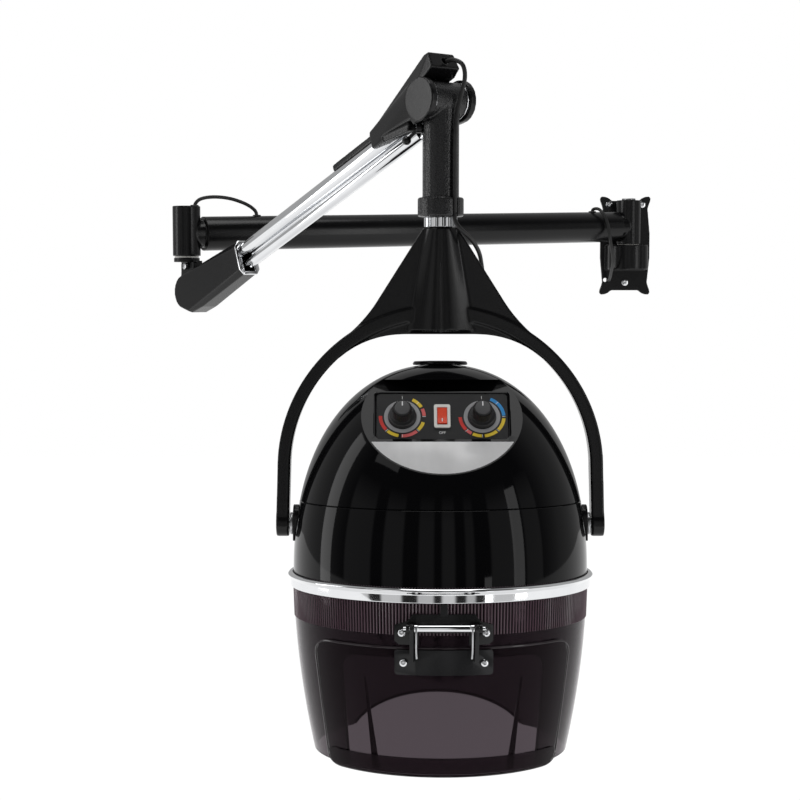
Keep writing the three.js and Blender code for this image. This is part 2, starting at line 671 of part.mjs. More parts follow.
const bandProfile = [
  [171, -1.5], [174.4, -2], [176.8, -4.6], [174.4, -7.4], [173.2, -17.6], [171, -17.6], [171, -1.5],
];
part(hood, 'chrome_ring', turned(bandProfile.map(([r, z]) => [r, RING_Z + z]), 40), CHROME);

// Skirt: tapering transparent wall, open in front for the face and arched behind for the neck.
const skirtRadius = (down) => DOME_R - SKIRT_TAPER * (Math.max(down, 0) / SKIRT_TALL) ** 1.9;
function skirtShell(inner, outer, top, bottom, rows = 5, sides = DOME_SIDES) {
  const levels = Array.from({ length: rows }, (_, k) => top + ((bottom - top) * k) / (rows - 1));
  const outside = levels.map((down) => [skirtRadius(down) + outer, RING_Z - down]);
  const inside = levels.map((down) => [skirtRadius(down) + inner, RING_Z - down]).reverse();
  return turned([...outside, ...inside, outside[0]], sides);
}
const faceGap = new THREE.Shape();
faceGap.moveTo(-100, RING_Z - 230);
faceGap.lineTo(100, RING_Z - 230);
faceGap.lineTo(109, RING_Z - 98);
faceGap.quadraticCurveTo(111, RING_Z - 76, 88, RING_Z - 76);
faceGap.lineTo(-88, RING_Z - 76);
faceGap.quadraticCurveTo(-111, RING_Z - 76, -109, RING_Z - 98);
const neckGap = new THREE.Shape();
neckGap.moveTo(-106, RING_Z - 230);
neckGap.lineTo(106, RING_Z - 230);
neckGap.lineTo(106, RING_Z - 208);
neckGap.bezierCurveTo(80, RING_Z - 160, -80, RING_Z - 160, -106, RING_Z - 208);
part(
  hood,
  'skirt',
  cut(
    skirtShell(-WALL, 0, 3, SKIRT_TALL),
    upright(faceGap, -220, -70, 5),
    upright(neckGap, 60, 220, 8),
  ),
  SMOKED,
);

// Flip-up visor and its hinge in front of the skirt.
function frontPatch(halfTop, halfLow, top, low, radius) {
  const shape = new THREE.Shape();
  shape.moveTo(-halfLow + radius, RING_Z - low);
  shape.lineTo(halfLow - radius, RING_Z - low);
  shape.quadraticCurveTo(halfLow, RING_Z - low, halfLow, RING_Z - low + radius);
  shape.lineTo(halfTop, RING_Z - top - radius);
  shape.quadraticCurveTo(halfTop, RING_Z - top, halfTop - radius, RING_Z - top);
  shape.lineTo(-halfTop + radius, RING_Z - top);
  shape.quadraticCurveTo(-halfTop, RING_Z - top, -halfTop, RING_Z - top - radius);
  shape.lineTo(-halfLow, RING_Z - low + radius);
  shape.quadraticCurveTo(-halfLow, RING_Z - low, -halfLow + radius, RING_Z - low);
  return upright(shape, -230, -60, 5);
}
const visorBody = skirtShell(1.2, 3.8, 60, 208).intersect(frontPatch(139, 126, -VISOR_TOP, 206.5, 16));
const visorRibs = [-1, 1].map((sign) => {
  const wedge = [[83, -100], [85, -100], [76, -202], [68, -202]].map(([x, z]) => [sign * x, RING_Z + z]);
  return skirtShell(-2, 1.6, 98, 204).intersect(upright(shapeOf(wedge), -230, -60));
});
const visorHoles = [-41, 41].map((x) => rod(3.4, [x, -230, RING_Z - 82.6], [x, -60, RING_Z - 82.6], 12));
part(hood, 'visor', cut(join(visorBody, ...visorRibs), ...visorHoles), SMOKED);

function knuckle(from, to, radius = 5) {
  return rod(radius, [from, HINGE_Y, HINGE_Z], [to, HINGE_Y, HINGE_Z], 16);
}
const pinHole = knuckle(-80, 80, 2.3);
const leafSide = [[33, -29], [39, -37], [52.5, -41], [52.5, -58], [48, -62]];
const leafShape = [...leafSide, ...leafSide.map(([x, z]) => [-x, z]).reverse()];
const upperLeaf = cut(
  skirtShell(0.5, 3.6, 20, 70).intersect(
    upright(shapeOf(leafShape.map(([x, z]) => [x, RING_Z + z])), -230, -60),
  ),
  block([-27, -230, RING_Z - 80], [27, -60, RING_Z - 49]),
);
const lugs = [[-40.4, -37.2], [37.2, 40.4]].map(([from, to]) => {
  const foot = block([from, HINGE_Y, HINGE_Z - 4], [to, -163, HINGE_Z + 4]);
  return join(knuckle(from, to), foot);
});
const behindSkirt = skirtShell(-40, 0.5, 0, 120);
const SCREW_DOWN = 49;
const leafScrews = [-44.8, 44.8].map((x) => {
  const face = -Math.sqrt(skirtRadius(SCREW_DOWN) ** 2 - x * x) - 6.4;
  return rod(4, [x, face + 10, RING_Z - SCREW_DOWN], [x, face, RING_Z - SCREW_DOWN], 12);
});
const leafBody = join(upperLeaf, cut(join(...lugs, ...leafScrews), behindSkirt));
part(hood, 'hinge_leaf', cut(leafBody, pinHole), BLACK_PAINT);
part(hood, 'hinge_roller', join(knuckle(-31.8, 31.8, 4.4), knuckle(-43.5, 43.5, 2)), CHROME);

const lowerLeaf = skirtShell(4.2, 7.2, 55, 105).intersect(frontPatch(52.5, 52.5, 67, 94, 4));
const KNEE_Z = RING_Z - 64;
const TOE_Z = RING_Z - 80;
const swingArms = [[-36.6, -32.4], [32.4, 36.6]].map((edges) => {
  const knee = edges.flatMap((x) => [[x, -182, KNEE_Z], [x, -174, KNEE_Z]]);
  const top = edges.flatMap((x) => [[x, HINGE_Y - 4, HINGE_Z], [x, HINGE_Y + 3, HINGE_Z]]);
  const toe = edges.flatMap((x) => [[x, -174, TOE_Z], [x, -166, TOE_Z]]);
  return join(knuckle(...edges), hull([...top, ...knee]), hull([...knee, ...toe]));
});
const inVisor = skirtShell(-60, 4.2, 0, 140);
const backOfLeaf = cut(join(...swingArms), inVisor);
const visorLeaf = cut(join(lowerLeaf, backOfLeaf), pinHole);
part(hood, 'visor_leaf', visorLeaf, BLACK_PAINT);

// Side brackets and tilt bolts.
const lowerWall = LOWER_ROWS.map((height) => [domeRadius(height) + GAP, RING_Z + height]);
const wallTop = RING_Z + LOWER_ROWS[LOWER_ROWS.length - 1];
const clearProfile = [[0, RING_Z + LOWER_ROWS[0]], ...lowerWall, [0, wallTop]];
const domeClear = turned(clearProfile, DOME_SIDES);
for (const [side, sign] of [['left', -1], ['right', 1]]) {
  const tab = new THREE.Shape();
  tab.moveTo(-16, -19);
  tab.lineTo(16, -19);
  tab.lineTo(16, 6);
  tab.absarc(0, 6, 16, 0, Math.PI);
  const pad = sideways(tab, sign > 0 ? 150 : -170.2, sign > 0 ? 170.2 : -150);
  part(hood, `side_bracket_${side}`, cut(pad, domeClear, boltHoles), BLACK_PAINT);
  const bolt = join(
    rod(5, [sign * 152, 0, 0], [sign * 188, 0, 0], 20),
    rod(9, [sign * 185.6, 0, 0], [sign * 189.6, 0, 0], 24),
    rod(9, [sign * 151, 0, 0], [sign * 157, 0, 0], 6),
  );
  part(hood, `tilt_bolt_${side}`, bolt, STEEL);
}

// Inner bowl, motor carrier, motor, impeller and heater ring.
function bowlSolid(grow, low) {
  const profile = [[0, RING_Z + low], [150 + grow, RING_Z + low]];
  for (let k = 0; k <= 4; k += 1) {
    const angle = (k / 5) * Math.PI * 0.5;
    const height = 8 + (98 + grow) * Math.sin(angle);
    profile.push([(150 + grow) * Math.cos(angle), RING_Z + height]);
  }
  profile.push([0, RING_Z + 106 + grow]);
  return turned(profile, 24);
}
const bowlFlange = rod(164, [0, 0, RING_Z + 5.6], [0, 0, RING_Z + 8], 24);
part(hood, 'inner_bowl', cut(join(bowlSolid(0, 6), bowlFlange), bowlSolid(-2, 0)), ALUMINIUM);
const CARRIER = RING_Z + 141;
const legs = [30, 150, 270].map((degrees) => {
  const [x, y] = [96 * Math.cos(radians(degrees)), 96 * Math.sin(radians(degrees))];
  return rod(4, [x, y, RING_Z + 60], [x, y, CARRIER + 1], 12);
});
const carrierPlate = ring(108, 9, [0, 0, CARRIER], [0, 0, CARRIER + 2.4], 24);
part(hood, 'motor_carrier', cut(join(carrierPlate, ...legs), bowlSolid(GAP, 0)), ALUMINIUM);
const motorBody = cut(
  rod(28, [0, 0, CARRIER + 2.8], [0, 0, CARRIER + 48]),
  rod(4.4, [0, 0, CARRIER], [0, 0, CARRIER + 24], 16),
);
part(hood, 'motor', motorBody, STEEL);
const blades = [];
for (let k = 0; k < 8; k += 1) {
  const angle = (2 * Math.PI * k) / 8;
  const points = [[10, 0], [62, 10]].map(([r, lag]) => [
    r * Math.cos(angle) - lag * Math.sin(angle), r * Math.sin(angle) + lag * Math.cos(angle),
  ]);
  const [acrossX, acrossY] = [-0.9 * Math.sin(angle), 0.9 * Math.cos(angle)];
  const corners = [];
  for (const [x, y] of points) {
    for (const z of [CARRIER - 24, CARRIER - 6]) {
      corners.push([x + acrossX, y + acrossY, z], [x - acrossX, y - acrossY, z]);
    }
  }
  blades.push(hull(corners));
}
const impeller = join(
  rod(14, [0, 0, CARRIER - 26], [0, 0, CARRIER - 3]),
  rod(4, [0, 0, CARRIER - 10], [0, 0, CARRIER + 22], 16),
  ring(64, 8, [0, 0, CARRIER - 7.5], [0, 0, CARRIER - 5], 24),
  ...blades,
);
part(hood, 'impeller', impeller, GREY);
const heaterProfile = [[104, 98], [116, 98], [116, 106], [104, 106], [104, 98]];
part(hood, 'heater', turned(heaterProfile.map(([r, z]) => [r, RING_Z + z]), 28), NYLON);

// Control panel: plate, two knobs on their switches and the rocker.
const panelOutline = roundedRect(PANEL_WIDE, PANEL_TALL, 4);
const plateHoles = [-KNOB_X, KNOB_X].map((x) => rod(4.5, [x, 0, -5], [x, 0, 8], 16));
const rockerGap = block([-7.4, -12.4, -8], [7.4, 12.4, 8]);
part(panel, 'panel_plate', cut(flat(panelOutline, 0, 2.4, 3), rockerGap, ...plateHoles), GREY);
for (const [name, sign] of [['timer', -1], ['heat', 1]]) {
  const x = sign * KNOB_X;
  const drum = cut(rod(15, [x, 0, -26], [x, 0, -GAP]), rod(4.5, [x, 0, -14], [x, 0, 5], 16));
  part(panel, sign < 0 ? 'timer_body' : 'thermostat_body', drum, NYLON);
  const knob = join(
    rod(15.5, [x, 0, 3], [x, 0, 8], 20, 14.5),
    rod(11, [x, 0, 7], [x, 0, 24], 20, 8.8),
    rod(4, [x, 0, -12], [x, 0, 4], 16),
  );
  part(panel, `${name}_knob`, knob, RUBBER);
}
const switchBody = join(
  block([-9, -14.5, 2.7], [9, 14.5, 4.4]),
  block([-7.1, -12.1, -20], [7.1, 12.1, 4]),
);
const rockerPocket = block([-5.7, -10.9, -9], [5.7, 10.9, 10]);
part(panel, 'switch_body', cut(switchBody, rockerPocket), NYLON);
part(panel, 'rocker', block([-5.3, -10, -3], [5.3, 10, 5.6]), RED);

export default processor;
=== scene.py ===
"""Looks of a wall-mounted hooded hair processor on a folding spring arm, in metres."""
from contextlib import contextmanager
from math import atan2, cos, degrees, hypot, pi, radians, sin, tan

import bmesh
import bpy
from mathutils import Matrix, Vector


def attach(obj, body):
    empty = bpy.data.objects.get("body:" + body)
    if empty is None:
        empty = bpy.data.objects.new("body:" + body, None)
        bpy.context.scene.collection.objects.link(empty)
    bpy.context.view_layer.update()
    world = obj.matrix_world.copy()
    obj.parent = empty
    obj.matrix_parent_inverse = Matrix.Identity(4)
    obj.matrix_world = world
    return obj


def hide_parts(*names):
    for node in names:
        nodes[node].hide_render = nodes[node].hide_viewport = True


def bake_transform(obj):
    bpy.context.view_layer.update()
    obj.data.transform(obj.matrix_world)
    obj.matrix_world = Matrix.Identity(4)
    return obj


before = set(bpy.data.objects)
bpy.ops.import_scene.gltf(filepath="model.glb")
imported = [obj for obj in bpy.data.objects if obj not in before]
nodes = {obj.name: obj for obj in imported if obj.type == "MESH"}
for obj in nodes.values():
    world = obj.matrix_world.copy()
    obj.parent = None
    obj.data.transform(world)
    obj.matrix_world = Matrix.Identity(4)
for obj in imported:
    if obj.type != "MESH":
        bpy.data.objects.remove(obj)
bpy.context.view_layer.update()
scene = bpy.context.scene
scene.view_settings.view_transform = "Standard"
MM = 0.001


# Camera at the photograph's angle
def make_camera():
    data = bpy.data.cameras.new("photo_camera")
    data.lens = 72.05
    data.sensor_width = 36
    data.clip_end = 60
    camera = bpy.data.objects.new("photo_camera", data)
    camera.location = (-0.36875, -2.64448, -0.04076)
    camera.rotation_euler = (radians(85.38), 0, 0)
    scene.collection.objects.link(camera)
    scene.camera = camera


make_camera()


# Frames of the arm's stages, as the solids have them
def turn(axis, angle):
    return Matrix.Rotation(radians(angle), 4, axis)


def shift(x, y, z):
    return Matrix.Translation(Vector((x, y, z)) * MM)


SWING_LENGTH, SWING_SAG = 750, 19.5
ARM_REACH, ARM_RISE, ARM_SIDE = 540, 223, 8
ARM_PITCH = degrees(atan2(ARM_RISE, ARM_REACH))
SWING_YAW, ARM_YAW, HOOD_TILT, PANEL_SLOPE = 207, -51, -3.8, 60
TILT_Z = -486
RING_Z = -52
WALL = Matrix.Identity(4)
SWING = shift(0, -45, 0) @ turn("Z", SWING_YAW)
ELBOW_AT = SWING @ (Vector((SWING_LENGTH, 0, -70.5)) * MM)
ELBOW = Matrix.Translation(ELBOW_AT) @ turn("Z", ARM_YAW)
ARM = ELBOW @ shift(0, ARM_SIDE, 0) @ turn("Y", -ARM_PITCH)
HEAD_AT = ELBOW @ (Vector((ARM_REACH, ARM_SIDE, ARM_RISE)) * MM)
POST = Matrix.Translation(HEAD_AT) @ turn("Z", ARM_YAW)
YOKE = Matrix.Translation(HEAD_AT)
HOOD = YOKE @ shift(0, 0, TILT_Z) @ turn("X", HOOD_TILT)
PANEL = HOOD @ shift(0, -90, RING_Z + 177) @ turn("X", PANEL_SLOPE)
PANEL_WIDE, PANEL_TALL = 145, 58


def place(at, point):
    return at @ (Vector(point) * MM)


# Materials
def socket_in(tree, kind, name, value=None):
    item = tree.interface.new_socket(name, in_out="INPUT", socket_type=kind)
    if value is not None:
        item.default_value = value


def wire(tree, *links):
    """Links from one node to the next: (node, its output, next node, its input), by name or number."""
    for source, out, target, into in links:
        tree.links.new(source.outputs[out], target.inputs[into])


def math_node(tree, operation):
    node = tree.nodes.new("ShaderNodeMath")
    node.operation = operation
    return node


def range_node(tree, low=0.0, high=1.0, to_low=0.0, to_high=1.0):
    node = tree.nodes.new("ShaderNodeMapRange")
    for name, value in (("From Min", low), ("From Max", high), ("To Min", to_low), ("To Max", to_high)):
        node.inputs[name].default_value = value
    return node


def mix_node(tree, a=None, b=None):
    node = tree.nodes.new("ShaderNodeMix")
    node.data_type = "RGBA"
    for name, colour in (("A", a), ("B", b)):
        if colour is not None:
            node.inputs[name].default_value = (*colour, 1)
    return node


def surface_tone():
    """Slow patches and fine grain over a surface, as masks from 0 to 1."""
    tree = bpy.data.node_groups.new("surface_tone", "ShaderNodeTree")
    socket_in(tree, "NodeSocketVector", "Vector")
    socket_in(tree, "NodeSocketFloat", "Patch Scale", 14.0)
    socket_in(tree, "NodeSocketFloat", "Grain Scale", 900.0)
    for name in ("Patch", "Grain"):
        tree.interface.new_socket(name, in_out="OUTPUT", socket_type="NodeSocketFloat")
    start = tree.nodes.new("NodeGroupInput")
    end = tree.nodes.new("NodeGroupOutput")
    for name, scale, detail in (("Patch", "Patch Scale", 4), ("Grain", "Grain Scale", 2)):
        noise = tree.nodes.new("ShaderNodeTexNoise")
        noise.inputs["Detail"].default_value = detail
        wire(tree, (start, "Vector", noise, "Vector"), (start, scale, noise, "Scale"),
             (noise, "Fac", end, name))
    return tree


def worn_edges():
    """A mask of the raised edges, broken up by the patches."""
    tree = bpy.data.node_groups.new("worn_edges", "ShaderNodeTree")
    socket_in(tree, "NodeSocketFloat", "Patch", 0.5)
    tree.interface.new_socket("Edge", in_out="OUTPUT", socket_type="NodeSocketFloat")
    start = tree.nodes.new("NodeGroupInput")
    end = tree.nodes.new("NodeGroupOutput")
    shape = tree.nodes.new("ShaderNodeNewGeometry")
    ramp = range_node(tree, 0.53, 0.66)
    broken = math_node(tree, "MULTIPLY")
    wire(tree, (shape, "Pointiness", ramp, "Value"), (ramp, "Result", broken, 0),
         (start, "Patch", broken, 1), (broken, 0, end, "Edge"))
    return tree


TONE = surface_tone()
EDGES = worn_edges()


def finish(name, dark, light, rough, metal=0.0, patch=14.0, grain=900.0, depth=0.0, edge=None,
           stretch=(1, 1, 1), **sockets):
    """Two tones mixed by slow patches, a roughness between two values and a grain of a given depth in mm."""
    material = bpy.data.materials.new(name)
    material.use_nodes = True
    tree = material.node_tree
    shader = tree.nodes["Principled BSDF"]
    where = tree.nodes.new("ShaderNodeTexCoord")
    mapping = tree.nodes.new("ShaderNodeMapping")
    mapping.inputs["Scale"].default_value = stretch
    tone = tree.nodes.new("ShaderNodeGroup")
    tone.node_tree = TONE
    tone.inputs["Patch Scale"].default_value = patch
    tone.inputs["Grain Scale"].default_value = grain
    mix = mix_node(tree, dark, light)
    spread = range_node(tree, 0.3, 0.7, *rough)
    wire(tree, (where, "Object", mapping, "Vector"), (mapping, "Vector", tone, "Vector"),
         (tone, "Patch", mix, "Factor"), (tone, "Grain", spread, "Value"),
         (spread, "Result", shader, "Roughness"))
    colour = mix.outputs["Result"]
    if edge:
        worn = tree.nodes.new("ShaderNodeGroup")
        worn.node_tree = EDGES
        rub = mix_node(tree, b=edge)
        wire(tree, (tone, "Patch", worn, "Patch"), (worn, "Edge", rub, "Factor"))
        tree.links.new(colour, rub.inputs["A"])
        colour = rub.outputs["Result"]
    tree.links.new(colour, shader.inputs["Base Color"])
    if depth:
        bump = tree.nodes.new("ShaderNodeBump")
        bump.inputs["Distance"].default_value = depth * MM
        wire(tree, (tone, "Grain", bump, "Height"), (bump, "Normal", shader, "Normal"))
    shader.inputs["Metallic"].default_value = metal
    for key, value in sockets.items():
        shader.inputs[key.replace("_", " ").title().replace("Ior", "IOR")].default_value = value
    return material


SATIN_BLACK = finish("satin_black_paint", (0.003, 0.003, 0.0034), (0.006, 0.006, 0.0064), (0.18, 0.28),
                     patch=22, grain=1400, depth=0.05, edge=(0.02, 0.02, 0.022), specular_ior_level=0.3)
HAMMER_BLACK = finish("hammered_black_paint", (0.004, 0.004, 0.0045), (0.012, 0.012, 0.013), (0.16, 0.34),
                      patch=120, grain=520, depth=0.5, edge=(0.03, 0.03, 0.03), specular_ior_level=0.5)
GLOSS_BLACK = finish("gloss_black_shell", (0.0022, 0.0022, 0.0026), (0.0036, 0.0036, 0.004), (0.035, 0.06),
                     patch=9, grain=2600, specular_ior_level=0.12)
CHROME = finish("polished_chrome", (0.74, 0.75, 0.77), (0.86, 0.87, 0.88), (0.035, 0.09), metal=1,
                patch=30, grain=1800)
STEEL = finish("brushed_steel", (0.42, 0.43, 0.44), (0.62, 0.62, 0.63), (0.22, 0.38), metal=1,
               patch=40, grain=1500, depth=0.03, stretch=(1, 1, 6))
SMOKED = finish("smoked_plastic", (0.064, 0.053, 0.06), (0.075, 0.061, 0.07), (0.02, 0.05),
                patch=6, grain=1200, transmission_weight=1.0, ior=1.17,
                specular_tint=(1, 0.68, 0.84, 1))
SMOKED_RIB = finish("smoked_rib", (0.075, 0.042, 0.056), (0.105, 0.06, 0.08), (0.14, 0.24), patch=30,
                    grain=1500, specular_ior_level=0.5)
# Light grey for the facet plate: a painted reflection of the overhead light on the sloped facet
FACET_REFLECTION_GREY = finish("painted_reflection_grey", (0.44, 0.44, 0.445), (0.72, 0.72, 0.725), (0.12, 0.22), patch=11,
                     grain=1800, stretch=(3, 1, 1), specular_ior_level=0.6)
SMOKED_EDGE = finish("smoked_edge", (0.012, 0.008, 0.01), (0.022, 0.014, 0.018), (0.08, 0.16), patch=30,
                     grain=1500, specular_ior_level=0.4)
PANEL_GREY = finish("panel_grey", (0.012, 0.012, 0.013), (0.02, 0.02, 0.021), (0.4, 0.55), patch=60,
                    grain=2600, depth=0.04)
KNOB_BLACK = finish("knob_black", (0.008, 0.008, 0.009), (0.016, 0.016, 0.017), (0.35, 0.5), patch=90,
                    grain=2600, depth=0.04)
KNOB_GREY = finish("knob_grey", (0.05, 0.05, 0.052), (0.09, 0.09, 0.092), (0.35, 0.5), patch=90,
                   grain=2600, depth=0.04)
CABLE_BLACK = finish("cable_black", (0.006, 0.006, 0.006), (0.014, 0.014, 0.014), (0.4, 0.55), patch=60,
                     grain=2200, depth=0.05)
NYLON = finish("pale_nylon", (0.62, 0.61, 0.57), (0.74, 0.73, 0.7), (0.4, 0.55), patch=50, grain=2000,
               depth=0.03)
SWITCH_RED = finish("switch_red", (0.62, 0.05, 0.022), (0.78, 0.09, 0.04), (0.2, 0.3), patch=120, grain=2600)
ALUMINIUM = finish("spun_aluminium", (0.5, 0.51, 0.52), (0.66, 0.67, 0.68), (0.3, 0.45), metal=1, patch=30,
                   grain=900, depth=0.03, stretch=(1, 1, 5))
# Near-black for the air holes: painted shade where the dark openings of the holes would be
PAINTED_HOLE_SHADE = finish("painted_hole_shade", (0.004, 0.004, 0.004), (0.01, 0.01, 0.01), (0.6, 0.8), patch=90, grain=1500)
PRINT_WHITE = finish("print_white", (0.68, 0.68, 0.68), (0.8, 0.8, 0.8), (0.4, 0.5), patch=160, grain=2400)


def printed():
    """Ink whose colour lies on the faces themselves, slightly uneven."""
    material = finish("dial_ink", (0, 0, 0), (1, 1, 1), (0.35, 0.5), patch=220, grain=2600)
    tree = material.node_tree
    shader = tree.nodes["Principled BSDF"]
    ink = tree.nodes.new("ShaderNodeAttribute")
    ink.attribute_name = "ink"
    tone = next(n for n in tree.nodes if n.type == "GROUP")
    fade = range_node(tree, to_low=0.8)
    scaled = mix_node(tree)
    scaled.blend_type = "MULTIPLY"
    scaled.inputs["Factor"].default_value = 1
    wire(tree, (tone, "Patch", fade, "Value"), (ink, "Color", scaled, "A"), (fade, "Result", scaled, "B"),
         (scaled, "Result", shader, "Base Color"))
    return material


DIAL_INK = printed()


# Mesh making; points are in millimetres of a frame
def bridge(a, b):
    a, b = list(a), list(b)
    count = max(len(a), len(b))
    faces = []
    for k in range(count):
        n = (k + 1) % count
        if len(a) == 1:
            faces.append((a[0], b[n], b[k]))
        elif len(b) == 1:
            faces.append((a[k], a[n], b[0]))
        else:
            faces.append((a[k], a[n], b[n], b[k]))
    return faces


def loft(rings, closed=False):
    """Skin over rings of points; a ring of one point is a pole."""
    points, rows = [], []
    for loop in rings:
        rows.append(range(len(points), len(points) + len(loop)))
        points += loop
    pairs = list(zip(rows, rows[1:]))
    if closed:
        pairs.append((rows[-1], rows[0]))
    faces = [face for a, b in pairs for face in bridge(a, b)]
    return points, faces


def capped(rings):
    """Skin over rings of points, with both ends closed."""
    points, faces = loft(rings)
    count = len(points)
    return points, faces + [tuple(range(len(rings[0]))),
                            tuple(range(count - 1, count - len(rings[-1]) - 1, -1))]


def circle(radius, z, sides):
    if radius < 1e-6:
        return [(0, 0, z)]
    return [(radius * cos(2 * pi * k / sides), radius * sin(2 * pi * k / sides), z) for k in range(sides)]


def soften(profile, radius, steps=4, loop=True):
    """Rounds the corners of a profile of (radius, height) points."""
    out = []
    count = len(profile)
    for k, point in enumerate(profile):
        here = Vector(point)
        if not loop and k in (0, count - 1):
            out.append(tuple(here))
            continue
        before, after = Vector(profile[k - 1]), Vector(profile[(k + 1) % count])
        back, on = before - here, after - here
        reach = min(radius, back.length * 0.45, on.length * 0.45)
        a, b = here + back.normalized() * reach, here + on.normalized() * reach
        for i in range(steps + 1):
            t = i / steps
            out.append(tuple(a * (1 - t) ** 2 + here * 2 * t * (1 - t) + b * t * t))
    return out


def spin(profile, sides=96, loop=True):
    return loft([circle(r, z, sides) for r, z in profile], closed=loop)


def tube_rings(path, radius, sides=16):
    """Rings of a round tube along a list of points, with closed ends."""
    rings = []
    side = None
    for k, point in enumerate(path):
        here = Vector(point)
        ahead = Vector(path[min(k + 1, len(path) - 1)]) - Vector(path[max(k - 1, 0)])
        ahead.normalize()
        if side is None:
            side = ahead.orthogonal().normalized()
        side = (side - ahead * side.dot(ahead)).normalized()
        up = ahead.cross(side)
        ring = [here + radius * (cos(2 * pi * i / sides) * side + sin(2 * pi * i / sides) * up)
                for i in range(sides)]
        rings.append([tuple(p) for p in ring])
    return [[tuple(path[0])]] + rings + [[tuple(path[-1])]]


def smooth_path(points, per_span=8):
    """Catmull-Rom curve through the points."""
    pts = [Vector(p) for p in points]
    pts = [pts[0] * 2 - pts[1]] + pts + [pts[-1] * 2 - pts[-2]]
    out = []
    for a, b, c, d in zip(pts, pts[1:], pts[2:], pts[3:]):
        for i in range(per_span):
            t = i / per_span
            out.append(0.5 * (2 * b + (c - a) * t + (2 * a - 5 * b + 4 * c - d) * t ** 2
                              + (3 * b - a - 3 * c + d) * t ** 3))
    out.append(pts[-2])
    return out


def curve_points(start, control, end, steps=8):
    a, c, b = Vector(start), Vector(control), Vector(end)
    return [tuple(a * (1 - t) ** 2 + c * 2 * t * (1 - t) + b * t * t)
            for t in [i / steps for i in range(steps + 1)]]


def shade(mesh, angle=34):
    mesh.shade_smooth()
    mesh.set_sharp_from_angle(angle=radians(angle))


@contextmanager
def edited(mesh):
    work = bmesh.new()
    work.from_mesh(mesh)
    yield work
    work.to_mesh(mesh)
    work.free()


def mesh_of(name, shape, at, angle=34):
    points, faces = shape
    mesh = bpy.data.meshes.new(name)
    mesh.from_pydata([tuple(place(at, p)) for p in points], [], faces)
    with edited(mesh) as work:
        bmesh.ops.remove_doubles(work, verts=work.verts, dist=1e-6)
        bmesh.ops.recalc_face_normals(work, faces=work.faces)
    shade(mesh, angle)
    return mesh


def link_up(name, mesh, material):
    piece = bpy.data.objects.new(name, mesh)
    scene.collection.objects.link(piece)
    mesh.materials.clear()
    mesh.materials.append(material)
    return piece


def settle(piece, body, slot, *replaced):
    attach(piece, body)
    if replaced:
        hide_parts(*replaced)
    return piece


def add(name, mesh, material, body, slot, *replaced):
    """A finished piece: its mesh and finish, the body it rides on and the nodes that it stands for."""
    return settle(link_up(name, mesh, material), body, slot, *replaced)


def coat(node, material):
    """A finish for a solid that shows as it is."""
    coats = nodes[node].data.materials
    coats.clear()
    coats.append(material)


def bake(piece, angle=34):
    """Applies a piece's modifiers to its mesh."""
    graph = bpy.context.evaluated_depsgraph_get()
    mesh = bpy.data.meshes.new_from_object(piece.evaluated_get(graph), depsgraph=graph)
    piece.modifiers.clear()
    old = piece.data
    piece.data = mesh
    bpy.data.meshes.remove(old)
    shade(mesh, angle)
    return piece


def solid_of(node):
    """A copy of a solid's mesh with its corners merged and its flat faces made whole."""
    mesh = nodes[node].data.copy()
    with edited(mesh) as work:
        bmesh.ops.remove_doubles(work, verts=work.verts, dist=2e-6)
        bmesh.ops.dissolve_limit(work, angle_limit=radians(1.5), verts=work.verts, edges=work.edges)
    return mesh


def casting(name, node, material, body, slot, voxel, rounds, mesh=None):
    """A cast piece: a mesh, or else the solid, with every edge rounded over and every corner filleted."""
    piece = link_up(name, mesh or solid_of(node), material)
    remesh = piece.modifiers.new("remesh", "REMESH")
    remesh.mode = "VOXEL"
    remesh.voxel_size = voxel * MM
    soft = piece.modifiers.new("soft", "SMOOTH")
    soft.factor = 0.5
    soft.iterations = rounds
    return settle(bake(piece, 70), body, slot, node)


def machined(name, node, material, body, slot, edge):
    """A turned or stamped piece: the solid with a fine chamfer."""
    piece = link_up(name, solid_of(node), material)
    bevel = piece.modifiers.new("bevel", "BEVEL")
    bevel.width = edge * MM
    bevel.segments = 2
    bevel.limit_method = "ANGLE"
    bevel.angle_limit = radians(40)
    bevel.use_clamp_overlap = True
    return settle(bake(piece), body, slot, node)


def turned_piece(name, profile, at, material, body, slot, *replaced, sides=96):
    return add(name, mesh_of(name, spin(profile, sides), at), material, body, slot, *replaced)


def merge(name, meshes, material):
    """One mesh from several."""
    work = bmesh.new()
    for mesh in meshes:
        work.from_mesh(mesh)
    whole = bpy.data.meshes.new(name)
    work.to_mesh(whole)
    work.free()
    for mesh in meshes:
        bpy.data.meshes.remove(mesh)
    shade(whole)
    return link_up(name, whole, material)


def combine(base, tools):
    """Cuts, joins or meets a mesh with others: tools are (operation, mesh) pairs."""
    piece = link_up("base", base, SATIN_BLACK)
    helpers = []
    for operation, mesh in tools:
        helper = link_up("tool", mesh, SATIN_BLACK)
        helpers.append(helper)
        step = piece.modifiers.new("step", "BOOLEAN")
        step.operation = operation
        step.solver = "MANIFOLD"
        step.object = helper
    bake(piece)
    mesh = piece.data
    bpy.data.objects.remove(piece)
    for helper in helpers:
        old = helper.data
        bpy.data.objects.remove(helper)
        bpy.data.meshes.remove(old)
    return mesh


def prism_shape(outline, low, high, axis="Z"):
    """An outline drawn out between two levels, along Z, or along Y for an outline in X and Z."""
    if axis == "Z":
        return capped([[(x, y, level) for x, y in outline] for level in (low, high)])
    return capped([[(x, level, z) for x, z in outline] for level in (low, high)])


def prism(outline, low, high, at, axis="Z"):
    return mesh_of("prism", prism_shape(outline, low, high, axis), at)


def rounded_rect(wide, tall, radius, steps=6):
    out = []
    for k, (sx, sy) in enumerate([(1, -1), (1, 1), (-1, 1), (-1, -1)]):
        for i in range(steps + 1):
            angle = (k - 1 + i / steps) * pi / 2
            out.append((sx * (wide / 2 - radius) + radius * cos(angle),
                        sy * (tall / 2 - radius) + radius * sin(angle)))
    return out


